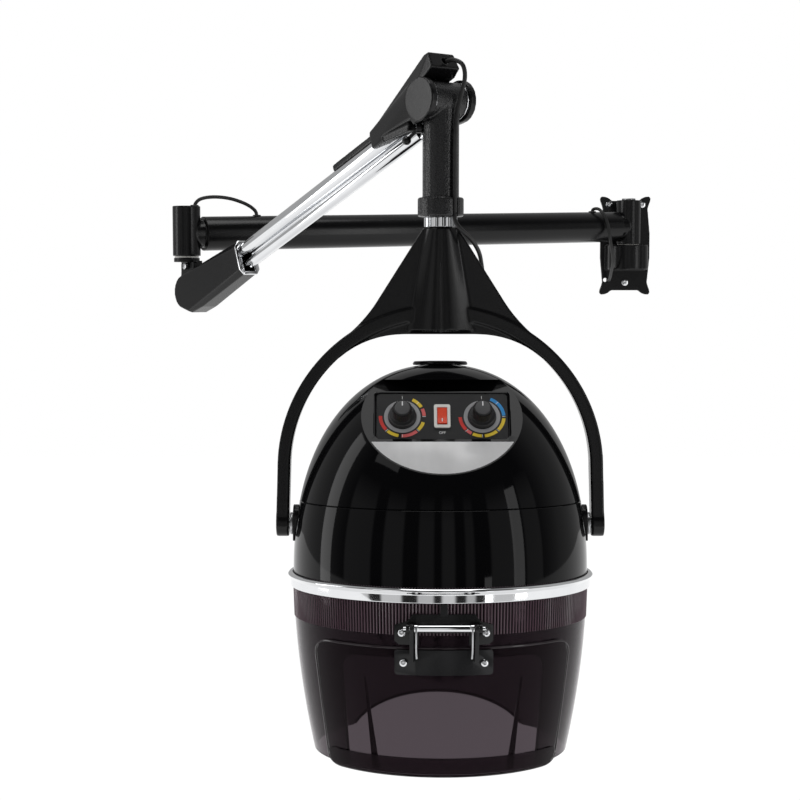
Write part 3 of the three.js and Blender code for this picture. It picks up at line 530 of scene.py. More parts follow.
# Geometry Nodes: pieces repeated round an arc, and pieces set on points
def node_tree(name, inputs):
    tree = bpy.data.node_groups.new(name, "GeometryNodeTree")
    for label, kind in inputs:
        tree.interface.new_socket(label, in_out="INPUT", socket_type=kind)
    tree.interface.new_socket("Geometry", in_out="OUTPUT", socket_type="NodeSocketGeometry")
    return tree, tree.nodes.new("NodeGroupInput"), tree.nodes.new("NodeGroupOutput")


def close_tree(tree, start, end, instances):
    real = tree.nodes.new("GeometryNodeRealizeInstances")
    paint = tree.nodes.new("GeometryNodeSetMaterial")
    tree.links.new(instances, real.inputs["Geometry"])
    wire(tree, (real, "Geometry", paint, "Geometry"), (start, "Material", paint, "Material"),
         (paint, "Geometry", end, "Geometry"))


def arc_tree():
    tree, start, end = node_tree("repeat_round_arc", [
        ("Geometry", "NodeSocketGeometry"), ("Piece", "NodeSocketObject"), ("Count", "NodeSocketInt"),
        ("Radius", "NodeSocketFloat"), ("Start", "NodeSocketFloat"), ("Step", "NodeSocketFloat"),
        ("Material", "NodeSocketMaterial")])
    new = tree.nodes.new
    spots = new("GeometryNodePoints")
    index = new("GeometryNodeInputIndex")
    angle = math_node(tree, "MULTIPLY_ADD")
    turned = new("ShaderNodeCombineXYZ")
    arm = new("ShaderNodeCombineXYZ")
    spun = new("ShaderNodeVectorRotate")
    spun.rotation_type = "Z_AXIS"
    move = new("GeometryNodeSetPosition")
    piece = new("GeometryNodeObjectInfo")
    copies = new("GeometryNodeInstanceOnPoints")
    wire(tree, (start, "Count", spots, "Count"), (index, 0, angle, 0), (start, "Step", angle, 1),
         (start, "Start", angle, 2), (start, "Radius", arm, "X"), (arm, 0, spun, "Vector"),
         (angle, 0, spun, "Angle"), (spots, 0, move, "Geometry"), (spun, 0, move, "Position"),
         (angle, 0, turned, "Z"), (start, "Piece", piece, "Object"), (move, 0, copies, "Points"),
         (piece, "Geometry", copies, "Instance"), (turned, 0, copies, "Rotation"))
    close_tree(tree, start, end, copies.outputs[0])
    return tree


def spot_tree():
    tree, start, end = node_tree("set_on_spots", [
        ("Geometry", "NodeSocketGeometry"), ("Piece", "NodeSocketObject"),
        ("Material", "NodeSocketMaterial")])
    new = tree.nodes.new
    spots = new("GeometryNodeMeshToPoints")
    facing = new("GeometryNodeInputNamedAttribute")
    facing.data_type = "FLOAT_VECTOR"
    facing.inputs["Name"].default_value = "facing"
    aim = new("FunctionNodeAlignRotationToVector")
    aim.axis = "Z"
    piece = new("GeometryNodeObjectInfo")
    copies = new("GeometryNodeInstanceOnPoints")
    wire(tree, (start, "Geometry", spots, "Mesh"), (facing, 0, aim, "Vector"),
         (start, "Piece", piece, "Object"), (spots, 0, copies, "Points"),
         (piece, "Geometry", copies, "Instance"), (aim, 0, copies, "Rotation"))
    close_tree(tree, start, end, copies.outputs[0])
    return tree


ARC_TREE = arc_tree()
SPOT_TREE = spot_tree()


def grown(tree, seed_mesh, piece_mesh, material, **values):
    """Runs a node tree on a seed mesh with a small piece, and gives back the plain mesh."""
    seed = link_up("seed", seed_mesh, material)
    small = link_up("small", piece_mesh, material)
    grow = seed.modifiers.new("grow", "NODES")
    grow.node_group = tree
    names = {i.name: i.identifier for i in tree.interface.items_tree if i.in_out == "INPUT"}
    grow[names["Piece"]] = small
    grow[names["Material"]] = material
    for key, value in values.items():
        grow[names[key.title()]] = value
    bake(seed)
    mesh = seed.data
    for helper in (seed, small):
        bpy.data.objects.remove(helper)
    return mesh


def round_arc(piece_shape, at, material, count, radius, start=0.0, sweep=360.0, lift=0.0):
    """A small piece repeated round an arc of a frame; sizes in millimetres, angles in degrees."""
    bare = bpy.data.meshes.new("seed")
    small = mesh_of("small", piece_shape, Matrix.Identity(4))
    mesh = grown(ARC_TREE, bare, small, material, count=count, radius=radius * MM,
                 start=radians(start), step=radians(sweep / count))
    mesh.transform(at @ shift(0, 0, lift))
    shade(mesh)
    return mesh


def on_spots(piece_shape, spots, material):
    """A small piece set on points, each facing its own way."""
    seed = bpy.data.meshes.new("seed")
    seed.from_pydata([tuple(p) for p, _ in spots], [], [])
    facing = seed.attributes.new("facing", "FLOAT_VECTOR", "POINT")
    for k, (_, way) in enumerate(spots):
        facing.data[k].vector = way
    mesh = grown(SPOT_TREE, seed, mesh_of("small", piece_shape, Matrix.Identity(4)), material)
    shade(mesh)
    return mesh


def box_shape(low, high):
    (a, b, c), (d, e, f) = low, high
    points = [(x, y, z) for x in (a, d) for y in (b, e) for z in (c, f)]
    faces = [(0, 1, 3, 2), (4, 6, 7, 5), (0, 4, 5, 1), (2, 3, 7, 6), (0, 2, 6, 4), (1, 5, 7, 3)]
    return points, faces


# Cords
CORD = 5.0
ELBOW_LOOP = [(738, 0, 40), (737, 0, 52), (728, 0, 60), (708, 0, 63), (684, 0, 61), (661, 0, 54),
              (647, 0, 45), (644, 0, 35), (644, 0, 24)]
WALL_DROP = [(70, 0, 46), (70, 2, 56), (67, 15, 56), (63, 26, 44), (59, 30.5, 26), (55, 31, 2),
             (44, 22, -24), (29, -6, -46), (18.5, -25, -55), (15, -34.5, -56.2), (13, -38.6, -56.2)]
POST_DROP = [(8, 2, 43), (18, 3, 44), (29, 7, 38), (31, 9, 24), (27, 7, 4), (25, 3, -16),
             (24.6, 0.5, -44), (24.6, 0, -80), (24.6, 0, -106), (24.6, 0, -128)]
YOKE_DROP = [(15.4, -19, -129), (16, -20.5, -137), (22, -21, -146), (32, -16, -155), (39.5, -4, -164),
             (45, 8, -174), (48, 17, -187), (50, 22, -201), (50, 21.5, -213), (47.5, 17, -222),
             (45.4, 12, -225), (45, 5, -225)]


def cable(name, at, route, node, body, bend=None):
    """A round cable on a smooth route from a body; when bend is given, the cable is baked in place in the
    world and attached to no body, and the second body and stretch in bend are not used.
    """
    path = smooth_path(route)
    mesh = mesh_of(name, loft(tube_rings(path, CORD / 2)), at, 60)
    piece = link_up(name, mesh, CABLE_BLACK)
    if bend:
        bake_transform(piece)
    else:
        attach(piece, body)
    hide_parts(node)


cable("elbow_loop", SWING, ELBOW_LOOP, "elbow_cable", "swing_arm")
cable("wall_drop", SWING, WALL_DROP, "wall_cable", "swing_arm",
      ("wall_bracket", (66, 18, 54), (24, -16, -51)))
cable("post_drop", POST, POST_DROP, "post_cable", "spring_arm", ("post", (20, 3, 43), (26, 5, -10)))
cable("yoke_drop", YOKE, YOKE_DROP, "yoke_cable", "post", ("yoke", (16, -20.5, -136), (47, 14, -182)))


# Arm pieces
casting("bracket_casting", "wall_plate", SATIN_BLACK, "wall_bracket", "black_paint", 1.0, 6)
casting("swing_root_casting", "swing_root", SATIN_BLACK, "swing_arm", "black_paint", 1.0, 6)
casting("swing_end_casting", "swing_end", SATIN_BLACK, "swing_arm", "black_paint", 1.0, 6)
casting("elbow_casting", "elbow_base", SATIN_BLACK, "elbow", "black_paint", 0.5, 4)
casting("root_casting", "arm_root", SATIN_BLACK, "spring_arm", "black_paint", 0.9, 8)
casting("head_casting", "arm_head", SATIN_BLACK, "spring_arm", "black_paint", 0.95, 8)
casting("post_tube", "post_body", HAMMER_BLACK, "post", "black_paint", 0.8, 6)
casting("lever_handle", "tension_lever", SATIN_BLACK, "lever", "black_paint", 0.4, 6)
for node, body in (("bracket_pin", "wall_bracket"), ("elbow_pin", "elbow"), ("elbow_nut", "elbow"),
                   ("link_pin_low", "elbow"), ("lift_pin", "spring_arm"), ("head_pin", "spring_arm"),
                   ("link_pin_high", "post"), ("tilt_washer_left", "yoke"), ("tilt_washer_right", "yoke")):
    machined(node + "_steel", node, STEEL, body, "steel", 0.5)
for node, body in (("mouth_ring", "spring_arm"), ("link_rod", "link"), ("head_washer_near", "post"),
                   ("head_washer_far", "post")):
    machined(node + "_chrome", node, CHROME, body, "chrome", 0.5)
for node, body in (("bracket_washer", "wall_bracket"), ("elbow_washer", "elbow")):
    machined(node + "_nylon", node, NYLON, body, "pale_nylon", 0.2)


# Yoke
NECK_Z, NECK_R, SPINE_FOOT = -144, 19.5, -262
ARCH_CENTRE, ARCH_R, ARCH_THICK, LEG_X = -421, 188, 15, 190


def plug(radius, length, at):
    """A solid round bar along a frame's Z."""
    return mesh_of("plug", spin([(0, 0), (radius, 0), (radius, length), (0, length)], 64, loop=False), at)


def yoke_spine():
    """A round neck that runs out into the hub plate in a soft bell."""
    sides, steps, spread, plate, swell = 64, 8, 46, 9, 14
    rings = []
    for step in range(steps + 1):
        share = step / steps
        ring = []
        for k in range(sides):
            angle = 2 * pi * (k + 0.5) / sides
            side = 1 if sin(angle) > 0 else -1
            bell = side * (plate + swell * sin(angle) ** 4)
            ring.append((cos(angle) * (NECK_R + (spread - NECK_R) * share),
                         NECK_R * sin(angle) * (1 - share) + bell * share,
                         NECK_Z + (SPINE_FOOT - NECK_Z) * share))
        rings.append(ring)
    return mesh_of("spine", capped(rings), YOKE)


def yoke_rib():
    """The thin rib down the front of the spine."""
    half, root = 1.3, 12
    rings = [[(-half, -proud, z), (half, -proud, z), (half, -root, z), (-half, -root, z)]
             for proud, z in ((21.2, -184), (26.4, -263))]
    piece = link_up("yoke_rib", mesh_of("rib", capped(rings), YOKE), SATIN_BLACK)
    bevel = piece.modifiers.new("bevel", "BEVEL")
    bevel.width = 0.9 * MM
    bevel.segments = 3
    settle(bake(piece), "yoke", "black_paint")


def yoke():
    """The yoke cast in one: arch, hub, spine, stem and tilt bosses."""
    leg_in = LEG_X - ARCH_THICK
    arc = [pi * k / 80 for k in range(81)]
    arch = [(LEG_X, TILT_Z)] + [(ARCH_R * cos(a), ARCH_CENTRE + ARCH_R * sin(a)) for a in arc]
    arch += [(-LEG_X, TILT_Z), (-leg_in, TILT_Z)]
    inner = ARCH_R - ARCH_THICK
    arch += [(inner * cos(a), ARCH_CENTRE + inner * sin(a)) for a in reversed(arc)] + [(leg_in, TILT_Z)]
    side = [(NECK_R, NECK_Z)] + curve_points((74, -230), (92, -258), (128, -284))
    side += curve_points((116, -293), (84, -266), (40, -266))
    hub = prism(side + [(-x, z) for x, z in reversed(side)], -10, 10, YOKE, "Y")
    stem = plug(12, 80, YOKE @ shift(0, 0, NECK_Z - 2))
    tools = [("UNION", hub), ("UNION", yoke_spine()), ("UNION", stem)]
    for sign in (-1, 1):
        def along(x):
            return YOKE @ shift(sign * x, 0, TILT_Z) @ turn("Y", sign * 90)
        boss, bolt_way = plug(15, ARCH_THICK, along(leg_in)), plug(5.35, 40, along(160))
        head_way = plug(9.4, 14.8, along(185.2))
        tools += [("UNION", boss), ("DIFFERENCE", bolt_way), ("DIFFERENCE", head_way)]
    cable_way = plug(3.3, 18, YOKE @ shift(45, 2, -225) @ turn("X", -90))
    tools.append(("DIFFERENCE", cable_way))
    mesh = combine(prism(arch, -12, 12, YOKE, "Y"), tools)
    casting("yoke_casting", "yoke_body", SATIN_BLACK, "yoke", "black_paint", 1.25, 10, mesh)


yoke()
yoke_rib()


def pipe(outer, inner, low, high, edge=0.8):
    return soften([(outer, low), (outer, high), (inner, high), (inner, low)], edge)


ALONG = SWING @ shift(0, 0, 30) @ turn("Y", 90 + degrees(atan2(SWING_SAG, SWING_LENGTH)))
turned_piece("swing_pipe", pipe(24, 21.5, 24.2, SWING_LENGTH - 24), ALONG, SATIN_BLACK, "swing_arm",
             "black_paint", "swing_tube")
turned_piece("spring_pipe", pipe(10.5, 8.5, 59, 546), ARM @ turn("Y", 90), CHROME, "spring_arm", "chrome",
             "arm_tube", sides=72)
coat("arm_spring", STEEL)


def grommets():
    """Rubber rings where the cables pass through the arm."""
    rings = []
    for x, z in ((738, 49.8), (644, 37.4), (70, 52.3)):
        profile = [(4.6 + 1.5 * cos(a), 1.5 * sin(a)) for a in [2 * pi * k / 12 for k in range(12)]]
        rings.append(mesh_of("ring", spin(profile, 28), SWING @ shift(x, 0, z)))
    settle(merge("cable_grommets", rings, CABLE_BLACK), "swing_arm", "black_rubber")


grommets()


# Screws: domed heads with a round recess
def screw_head(radius, tall):
    sides = 20
    profile = [(1, 0), (1, 0.35), (0.86, 0.75), (0.55, 1), (0.3, 0.98), (0.22, 0.45), (0, 0.4)]
    points, faces = loft([circle(radius * out, tall * up, sides) for out, up in profile])
    return points, faces + [tuple(range(sides - 1, -1, -1))]


def wall_screws():
    spots = [(place(WALL, (x, -9.2, z)), (0, -1, 0)) for x, z in ((-27, 67), (27, 67), (0, -60))]
    heads = on_spots(screw_head(6.2, 4.1), spots, CHROME)
    add("wall_screw_heads", heads, CHROME, "wall_bracket", "chrome", "wall_screw_left", "wall_screw_right",
        "wall_screw_low")


wall_screws()


# Swivel ring with its ring of teeth
def swivel():
    low, high, edge = -143.4, -132.7, 0.2
    profile = soften([(17.2, low), (17.2, high), (12.5, high), (12.5, low)], 0.5)
    band = mesh_of("band", spin(profile, 64), YOKE)
    tooth = prism_shape([(-1.6, -1.5), (-1.6, 1.5), (1.6, 1.0), (1.6, -1.0)], low + edge, high - edge)
    teeth = round_arc(tooth, YOKE, CHROME, 16, 17.4)
    settle(merge("swivel_teeth", [band, teeth], CHROME), "yoke", "chrome", "swivel_ring")


swivel()


# Hood shells
DOME_R, DOME_TALL, DOME_POWER, SHELL = 170, 237, 2.2, 3
SEAM, SHELL_LOW = 80, -1.2


def dome_radius(height, grow=0.0):
    level = min(max(height / (DOME_TALL + grow), 0), 1)
    return (DOME_R + grow) * (1 - level ** DOME_POWER) ** (1 / DOME_POWER)


def dome(low, grow, rows=72, sides=160, edge=0.0):
    """A closed dome from a height above the trim ring up to its crown."""
    profile = [(0, RING_Z + low)]
    if edge:
        profile.append((dome_radius(low, grow) - edge, RING_Z + low))
        low += edge
    for k in range(rows):
        height = low + (DOME_TALL + grow - low) * sin(k / rows * pi / 2)
        profile.append((dome_radius(height, grow), RING_Z + height))
    profile.append((0, RING_Z + DOME_TALL + grow))
    return mesh_of("dome", spin(profile, sides, loop=False), HOOD)


def facet_tool(inward):
    """The wedge that leaves the sloped facet under the panel, moved in by a distance."""
    lean, foot, front = radians(50), 85, -260
    brow = 219 + inward

    def reach(height):
        return -(148 - tan(lean) * (height - 121)) + inward / cos(lean)

    outline = [(reach(foot), RING_Z + foot), (reach(brow), RING_Z + brow), (front, RING_Z + brow),
               (front, RING_Z + foot)]
    return mesh_of("facet", capped([[(x, y, z) for y, z in outline] for x in (-200, 200)]), HOOD)


def housing(grow, low, high, edge=0.0):
    """The box round the control panel, with its outer edge rounded over."""
    levels = [(low, 0), (high, 0)]
    if edge:
        levels = [(low, 0), (high - edge, 0), (high - edge * 0.3, edge * 0.3), (high, edge)]
    rings = []
    for level, inset in levels:
        size = PANEL_WIDE + grow - 2 * inset, PANEL_TALL + grow - 2 * inset
        rings.append([(x, y, level) for x, y in rounded_rect(*size, 5, 5)])
    return mesh_of("housing", capped(rings), PANEL)


def upper_shell():
    low = SEAM + 0.2
    outside = combine(dome(low, 0, edge=0.7), [("DIFFERENCE", facet_tool(0)),
                                               ("UNION", housing(7, -46, 3.2, 2.0))])
    inside = combine(dome(40, -SHELL, 48, 120), [("DIFFERENCE", facet_tool(SHELL)),
                                                 ("UNION", housing(1, -60, 20))])
    shell = combine(outside, [("DIFFERENCE", inside)])
    far = 300
    below = prism([(-far, -far), (far, -far), (far, far), (-far, far)], -far, RING_Z + low, HOOD)
    shell = combine(shell, [("DIFFERENCE", below)])
    shade(shell, 22)
    add("upper_hood", shell, GLOSS_BLACK, "hood", "gloss_black", "upper_shell")


upper_shell()


def paint_facet_reflection():
    """A thin plate on the sloped facet under the control panel, its light grey a painted reflection of the
    overhead light.
    """
    foot = -(PANEL_TALL + 9) / 2
    above = mesh_of("above", box_shape((-200, foot, -120), (200, 200, 120)), PANEL)
    plate = combine(facet_tool(0), [("DIFFERENCE", facet_tool(-0.35)), ("INTERSECT", dome(SEAM + 3, -1.0)),
                                    ("DIFFERENCE", above)])
    add("facet_plate", plate, FACET_REFLECTION_GREY, "hood", "grey_plastic")


paint_facet_reflection()


def lower_shell():
    top, edge, lip_top, lip_thick = SEAM - 0.2, 0.7, SEAM + 6, 2.4
    outer = [(dome_radius(h), h) for h in [SHELL_LOW + (top - SHELL_LOW) * k / 14 for k in range(14)]]
    outer += [(dome_radius(top - edge), top - edge), (dome_radius(top) - edge, top)]
    lip = dome_radius(lip_top, -SHELL) - 0.5
    inner = [(dome_radius(h) - SHELL, h) for h in (60, 30, SHELL_LOW)]
    behind = lip - lip_thick
    section = outer + [(lip, top), (lip, lip_top), (behind, lip_top), (behind, SEAM - 4)] + inner
    profile = [(r, RING_Z + z) for r, z in section]
    turned_piece("lower_hood", profile, HOOD, GLOSS_BLACK, "hood", "gloss_black", "lower_shell", sides=192)


lower_shell()


def crown_cap():
    seat = RING_Z + DOME_TALL + 0.3
    edge = soften([(28, 0), (31, -1.6), (32, 0), (30.4, 3), (14, 3.6)], 1.2, loop=False)
    profile = [(0, seat)] + [(r, seat + z) for r, z in edge] + [(0, seat + 3.7)]
    mesh = mesh_of("crown_cap", spin(profile, 96, loop=False), HOOD)
    add("crown_cap", mesh, GLOSS_BLACK, "hood", "gloss_black", "top_cap")


def trim_ring():
    """The chrome band: a round bead over a flat skirt."""
    section = [(171, -1.5), (174.4, -2), (176.8, -4.6), (174.2, -7.4), (173.4, -8.6), (173.2, -17.6),
               (171, -17.6)]
    profile = [(r, RING_Z + z) for r, z in soften(section, 1.2, 5)]
    turned_piece("trim_ring", profile, HOOD, CHROME, "hood", "chrome", "chrome_ring", sides=192)


crown_cap()
trim_ring()


# Skirt and visor
SKIRT_TALL, SKIRT_TAPER, FLUTES, FLUTED = 204, 24.1, 288, 52


def skirt_radius(down):
    return DOME_R - SKIRT_TAPER * (max(down, 0) / SKIRT_TALL) ** 1.9


def shell_rings(inner, outer, levels, sides):
    rings = [circle(skirt_radius(down) + outer, RING_Z - down, sides) for down in levels]
    return rings + [circle(skirt_radius(down) + inner, RING_Z - down, sides) for down in reversed(levels)]


def face_outline():
    """The opening in front of the face, round at its upper corners."""
    right = [(100, RING_Z - 230), (109, RING_Z - 98)]
    right += curve_points((109, RING_Z - 98), (111, RING_Z - 76), (88, RING_Z - 76))[1:]
    return right + [(-x, z) for x, z in reversed(right)]


def neck_outline():
    """The arch at the nape: a Bezier curve between two feet."""
    half, foot, pull, crown, below, steps = 106, -208, 80, -160, -230, 24
    points = [(half, RING_Z + below), (half, RING_Z + foot)]
    for i in range(1, steps):
        t = i / steps
        ends, rise, fall = (1 - t) ** 3, 3 * t * (1 - t) ** 2, 3 * t * t * (1 - t)
        points.append((half * (ends - t ** 3) + pull * (rise - fall),
                       RING_Z + foot * (ends + t ** 3) + crown * (rise + fall)))
    return points + [(-half, RING_Z + foot), (-half, RING_Z + below)]


def on_skirt(outline, offset, front=True):
    """An outline in X and Z laid on the skirt's wall."""
    path = []
    for x, z in outline:
        radius = skirt_radius(RING_Z - z) + offset
        y = (radius * radius - x * x) ** 0.5
        path.append((x, -y if front else y, z))
    return path


def dense(points, step=4.0):
    """An outline with points no further apart than a step."""
    out = []
    for (a, b), (c, d) in zip(points, points[1:]):
        count = max(1, int(hypot(c - a, d - b) / step))
        out += [(a + (c - a) * i / count, b + (d - b) * i / count) for i in range(count)]
    return out + [points[-1]]


def skirt():
    levels = [3, 12, 24, 36, 48, 60, 80, 100, 120, 140, 160, 180, 195, 202.6, SKIRT_TALL]
    wall = mesh_of("wall", loft(shell_rings(-3, 0, levels, 240), closed=True), HOOD)
    wall = combine(wall, [("DIFFERENCE", prism(face_outline(), -220, -70, HOOD, "Y")),
                          ("DIFFERENCE", prism(neck_outline(), 60, 220, HOOD, "Y"))])
    shade(wall, 50)
    add("smoked_skirt", wall, SMOKED, "hood", "smoked", "skirt")
    foot_x, foot_z, middle = 101.8, RING_Z - 203, -1.5
    face = on_skirt(dense([(foot_x, foot_z)] + face_outline()[1:-1] + [(-foot_x, foot_z)]), middle)
    neck = on_skirt(dense(neck_outline()[2:-2]), middle, False)
    beads = [mesh_of("bead", loft(tube_rings(path, thick, 12)), HOOD)
             for path, thick in ((face, 1.7), (neck, 2.2))]
    settle(merge("skirt_edges", beads, SMOKED_EDGE), "hood", "smoked")


def skirt_flutes():
    """Fine upright ribs round the top of the skirt."""
    lean = skirt_radius(FLUTED) - DOME_R
    section = [(-0.6, -0.95), (0.35, -0.8), (0.8, 0), (0.35, 0.8), (-0.6, 0.95)]
    rib = [[(x + out, y, RING_Z - down) for x, y in section] for down, out in ((4, 0), (FLUTED, lean))]
    ribs = round_arc(capped(rib), HOOD, SMOKED_RIB, FLUTES, DOME_R)
    add("skirt_flutes", ribs, SMOKED_RIB, "hood", "smoked")


skirt()
skirt_flutes()


def visor_outline(half_top, half_low, top, low, radius):
    top, low = RING_Z - top, RING_Z - low
    right = curve_points((half_low - radius, low), (half_low, low), (half_low, low + radius))
    right += curve_points((half_top, top - radius), (half_top, top), (half_top - radius, top))
    return right + [(-x, z) for x, z in reversed(right)]


def skirt_patch(outline, inner, outer, levels, sides):
    """A curved plate on the front of the skirt, cut to an outline."""
    wall = mesh_of("wall", loft(shell_rings(inner, outer, levels, sides), closed=True), HOOD)
    return combine(wall, [("INTERSECT", prism(outline, -230, -60, HOOD, "Y"))])


def visor():
    outline = visor_outline(139, 126, 66, 206.5, 16)
    shell = skirt_patch(outline, 1.2, 3.8, [60 + 148 * k / 24 for k in range(25)], 220)
    shade(shell, 50)
    add("smoked_visor", shell, SMOKED, "visor", "smoked", "visor")
    rim = on_skirt(dense(outline + outline[:1], 5), 2.5)
    bead = mesh_of("bead", loft(tube_rings(rim, 1.5, 10)), HOOD)
    add("visor_edges", bead, SMOKED_EDGE, "visor", "smoked")
    low_edge = visor_outline(126, 124, 186, 205.5, 8)
    lip = skirt_patch(low_edge, 3.9, 5.2, [180 + 4 * k for k in range(7)], 220)
    shade(lip, 50)
    add("visor_lip", lip, SMOKED, "visor", "smoked")
    ribs = []
    for sign in (-1, 1):
        wedge = [(sign * x, RING_Z + z) for x, z in ((83, -100), (85, -100), (76, -202), (68, -202))]
        ribs.append(skirt_patch(wedge, -2, 1.1, [98 + 5.3 * k for k in range(21)], 360))
    settle(merge("visor_ribs", ribs, SMOKED_EDGE), "visor", "smoked")


visor()


# Visor hinge
HINGE_Y, HINGE_Z = -181, RING_Z - 42.4
machined("hinge_plate_top", "hinge_leaf", SATIN_BLACK, "hood", "black_paint", 0.5)
machined("hinge_plate_low", "visor_leaf", SATIN_BLACK, "visor", "black_paint", 0.5)


def hinge_rod():
    """A roller with a collar at each end, on a thinner pin."""
    half = [(3.9, 27.4), (4.4, 28), (4.4, 31.8), (2.0, 31.8), (2.0, 43.5)]
    bore = [(0.4, 43.5), (0.4, -43.5)]
    profile = soften([(r, -x) for r, x in reversed(half)] + half + bore, 0.5, 3)
    axis = HOOD @ shift(0, HINGE_Y, HINGE_Z) @ turn("Y", 90)
    turned_piece("hinge_rod", profile, axis, CHROME, "hood", "chrome", "hinge_roller", sides=48)


hinge_rod()


def hinge_screws(half, down, offset, body, name):
    """A pair of screw heads on a hinge leaf."""
    spots = []
    radius = skirt_radius(down) + offset
    for x in (-half, half):
        y = -(radius * radius - x * x) ** 0.5
        way = (HOOD.to_3x3() @ Vector((x * 0.4, y, -8))).normalized()
        spots.append((place(HOOD, (x, y, RING_Z - down)), way))
    heads = on_spots(screw_head(4.2, 2.4), spots, CHROME)
    add(name, heads, CHROME, body, "chrome")


hinge_screws(44.8, 49, 6.0, "hood", "hinge_screws_top")
hinge_screws(43, 81, 7.2, "visor", "hinge_screws_low")
add("hinge_tab", mesh_of("hinge_tab", box_shape((-4, -173.4, RING_Z - 31), (4, -170.6, RING_Z - 18)), HOOD),
    SATIN_BLACK, "hood", "black_paint")


def spring_legs():
    """The two wire legs that run down from the roller."""
    legs = []
    for side in (-1, 1):
        bends = [(29.6, -5, 2), (29.6, -6, -4), (29.6, -4, -14), (29.6, -1.2, -24), (29.0, 0.3, -32)]
        route = [(side * x, HINGE_Y + y, HINGE_Z + z) for x, y, z in bends]
        legs.append(mesh_of("leg", loft(tube_rings(smooth_path(route, 5), 1.0, 10)), HOOD))
    settle(merge("hinge_spring_legs", legs, STEEL), "visor", "steel")


spring_legs()

# Tilt joint
for side in ("left", "right"):
    machined("hood_tab_" + side, "side_bracket_" + side, SATIN_BLACK, "hood", "black_paint", 0.8)
    machined("tilt_screw_" + side, "tilt_bolt_" + side, STEEL, "hood", "steel", 0.6)


# Inside of the hood
BOWL_R, BOWL_TALL, BOWL_WALL, BOWL_Z = 150, 98, 2, RING_Z + 8


def bowl_arc(wall):
    angles = [k / 28 * pi / 2 for k in range(28)]
    return [((BOWL_R - wall) * cos(a), BOWL_Z + (BOWL_TALL - wall) * sin(a)) for a in angles]


def inner_bowl():
    under, rim = BOWL_Z - 2.3, 163.8
    profile = [(0, BOWL_Z + BOWL_TALL - BOWL_WALL)] + bowl_arc(BOWL_WALL)[::-1]
    profile += [(BOWL_R - BOWL_WALL, under), (rim, under), (rim, BOWL_Z - 0.1), (BOWL_R + 0.6, BOWL_Z)]
    profile += bowl_arc(0)[1:] + [(0, BOWL_Z + BOWL_TALL)]
    mesh = mesh_of("air_bowl", spin(profile, 128, loop=False), HOOD)
    add("air_bowl", mesh, ALUMINIUM, "hood", "aluminium", "inner_bowl")


def air_holes():
    """Rows of round holes over the inside of the bowl, as dark discs just off its wall: painted shade in
    place of the openings.
    """
    hole, proud, pitch, corners = 3.2, 0.35, 17, 10
    rows = []
    for k in range(3, 15):
        angle = k / 16 * pi / 2
        disc = [(-hole * sin(angle) * cos(a) - proud * cos(angle), hole * sin(a),
                 hole * cos(angle) * cos(a) - proud * sin(angle))
                for a in [2 * pi * i / corners for i in range(corners)]]
        radius = (BOWL_R - BOWL_WALL) * cos(angle)
        count = max(6, int(radius * 2 * pi / pitch))
        rows.append(round_arc((disc, [tuple(range(corners))]), HOOD, PAINTED_HOLE_SHADE, count, radius, k * 7.0,
                              lift=BOWL_Z + (BOWL_TALL - BOWL_WALL) * sin(angle)))
    settle(merge("air_holes", rows, PAINTED_HOLE_SHADE), "hood", "aluminium")


inner_bowl()
air_holes()
for node, material in (("motor_carrier", ALUMINIUM), ("motor", STEEL), ("heater", NYLON),
                       ("impeller", PANEL_GREY), ("timer_body", NYLON), ("thermostat_body", NYLON)):
    coat(node, material)


# Control panel
def ink_mesh(name, sectors, at):
    """Flat coloured sectors: (inner, outer, from, to, colour), thick enough to read as ink."""
    points, faces, colours = [], [], []
    for inner, outer, a, b, colour in sectors:
        count = max(2, int(abs(b - a) / 4))
        start = len(points)
        for i in range(count + 1):
            angle = radians(a + (b - a) * i / count)
            points += [(r * cos(angle), r * sin(angle), z) for z in (0, 0.12) for r in (inner, outer)]
        for i in range(count):
            k = start + 4 * i
            for p, q in ((0, 1), (1, 3), (3, 2), (2, 0)):
                faces.append((k + p, k + q, k + 4 + q, k + 4 + p))
                colours.append(colour)
        last = start + 4 * count
        faces += [(start, start + 2, start + 3, start + 1), (last, last + 1, last + 3, last + 2)]
        colours += [colour, colour]
    mesh = bpy.data.meshes.new(name)
    mesh.from_pydata([tuple(place(at, p)) for p in points], [], faces)
    ink = mesh.attributes.new("ink", "FLOAT_COLOR", "FACE")
    for k, colour in enumerate(colours):
        ink.data[k].color = (*colour, 1)
    with edited(mesh) as work:
        bmesh.ops.recalc_face_normals(work, faces=work.faces)
    return mesh


RED, YELLOW, PINK, BLUE = (0.62, 0.03, 0.02), (0.78, 0.56, 0.03), (0.68, 0.12, 0.12), (0.02, 0.26, 0.62)
PALE = (0.34, 0.34, 0.35)
LEFT_DIAL = [(178, 222, RED), (228, 260, YELLOW), (268, 311, PINK), (317, 343, YELLOW), (2, 24, PINK),
             (30, 62, YELLOW)]
RIGHT_DIAL = [(182, 222, RED), (226, 240, PINK), (244, 268, YELLOW), (276, 311, YELLOW), (317, 355, YELLOW),
              (3, 66, BLUE)]
KNOB_X = 44
PLATE_TOP = 2.4


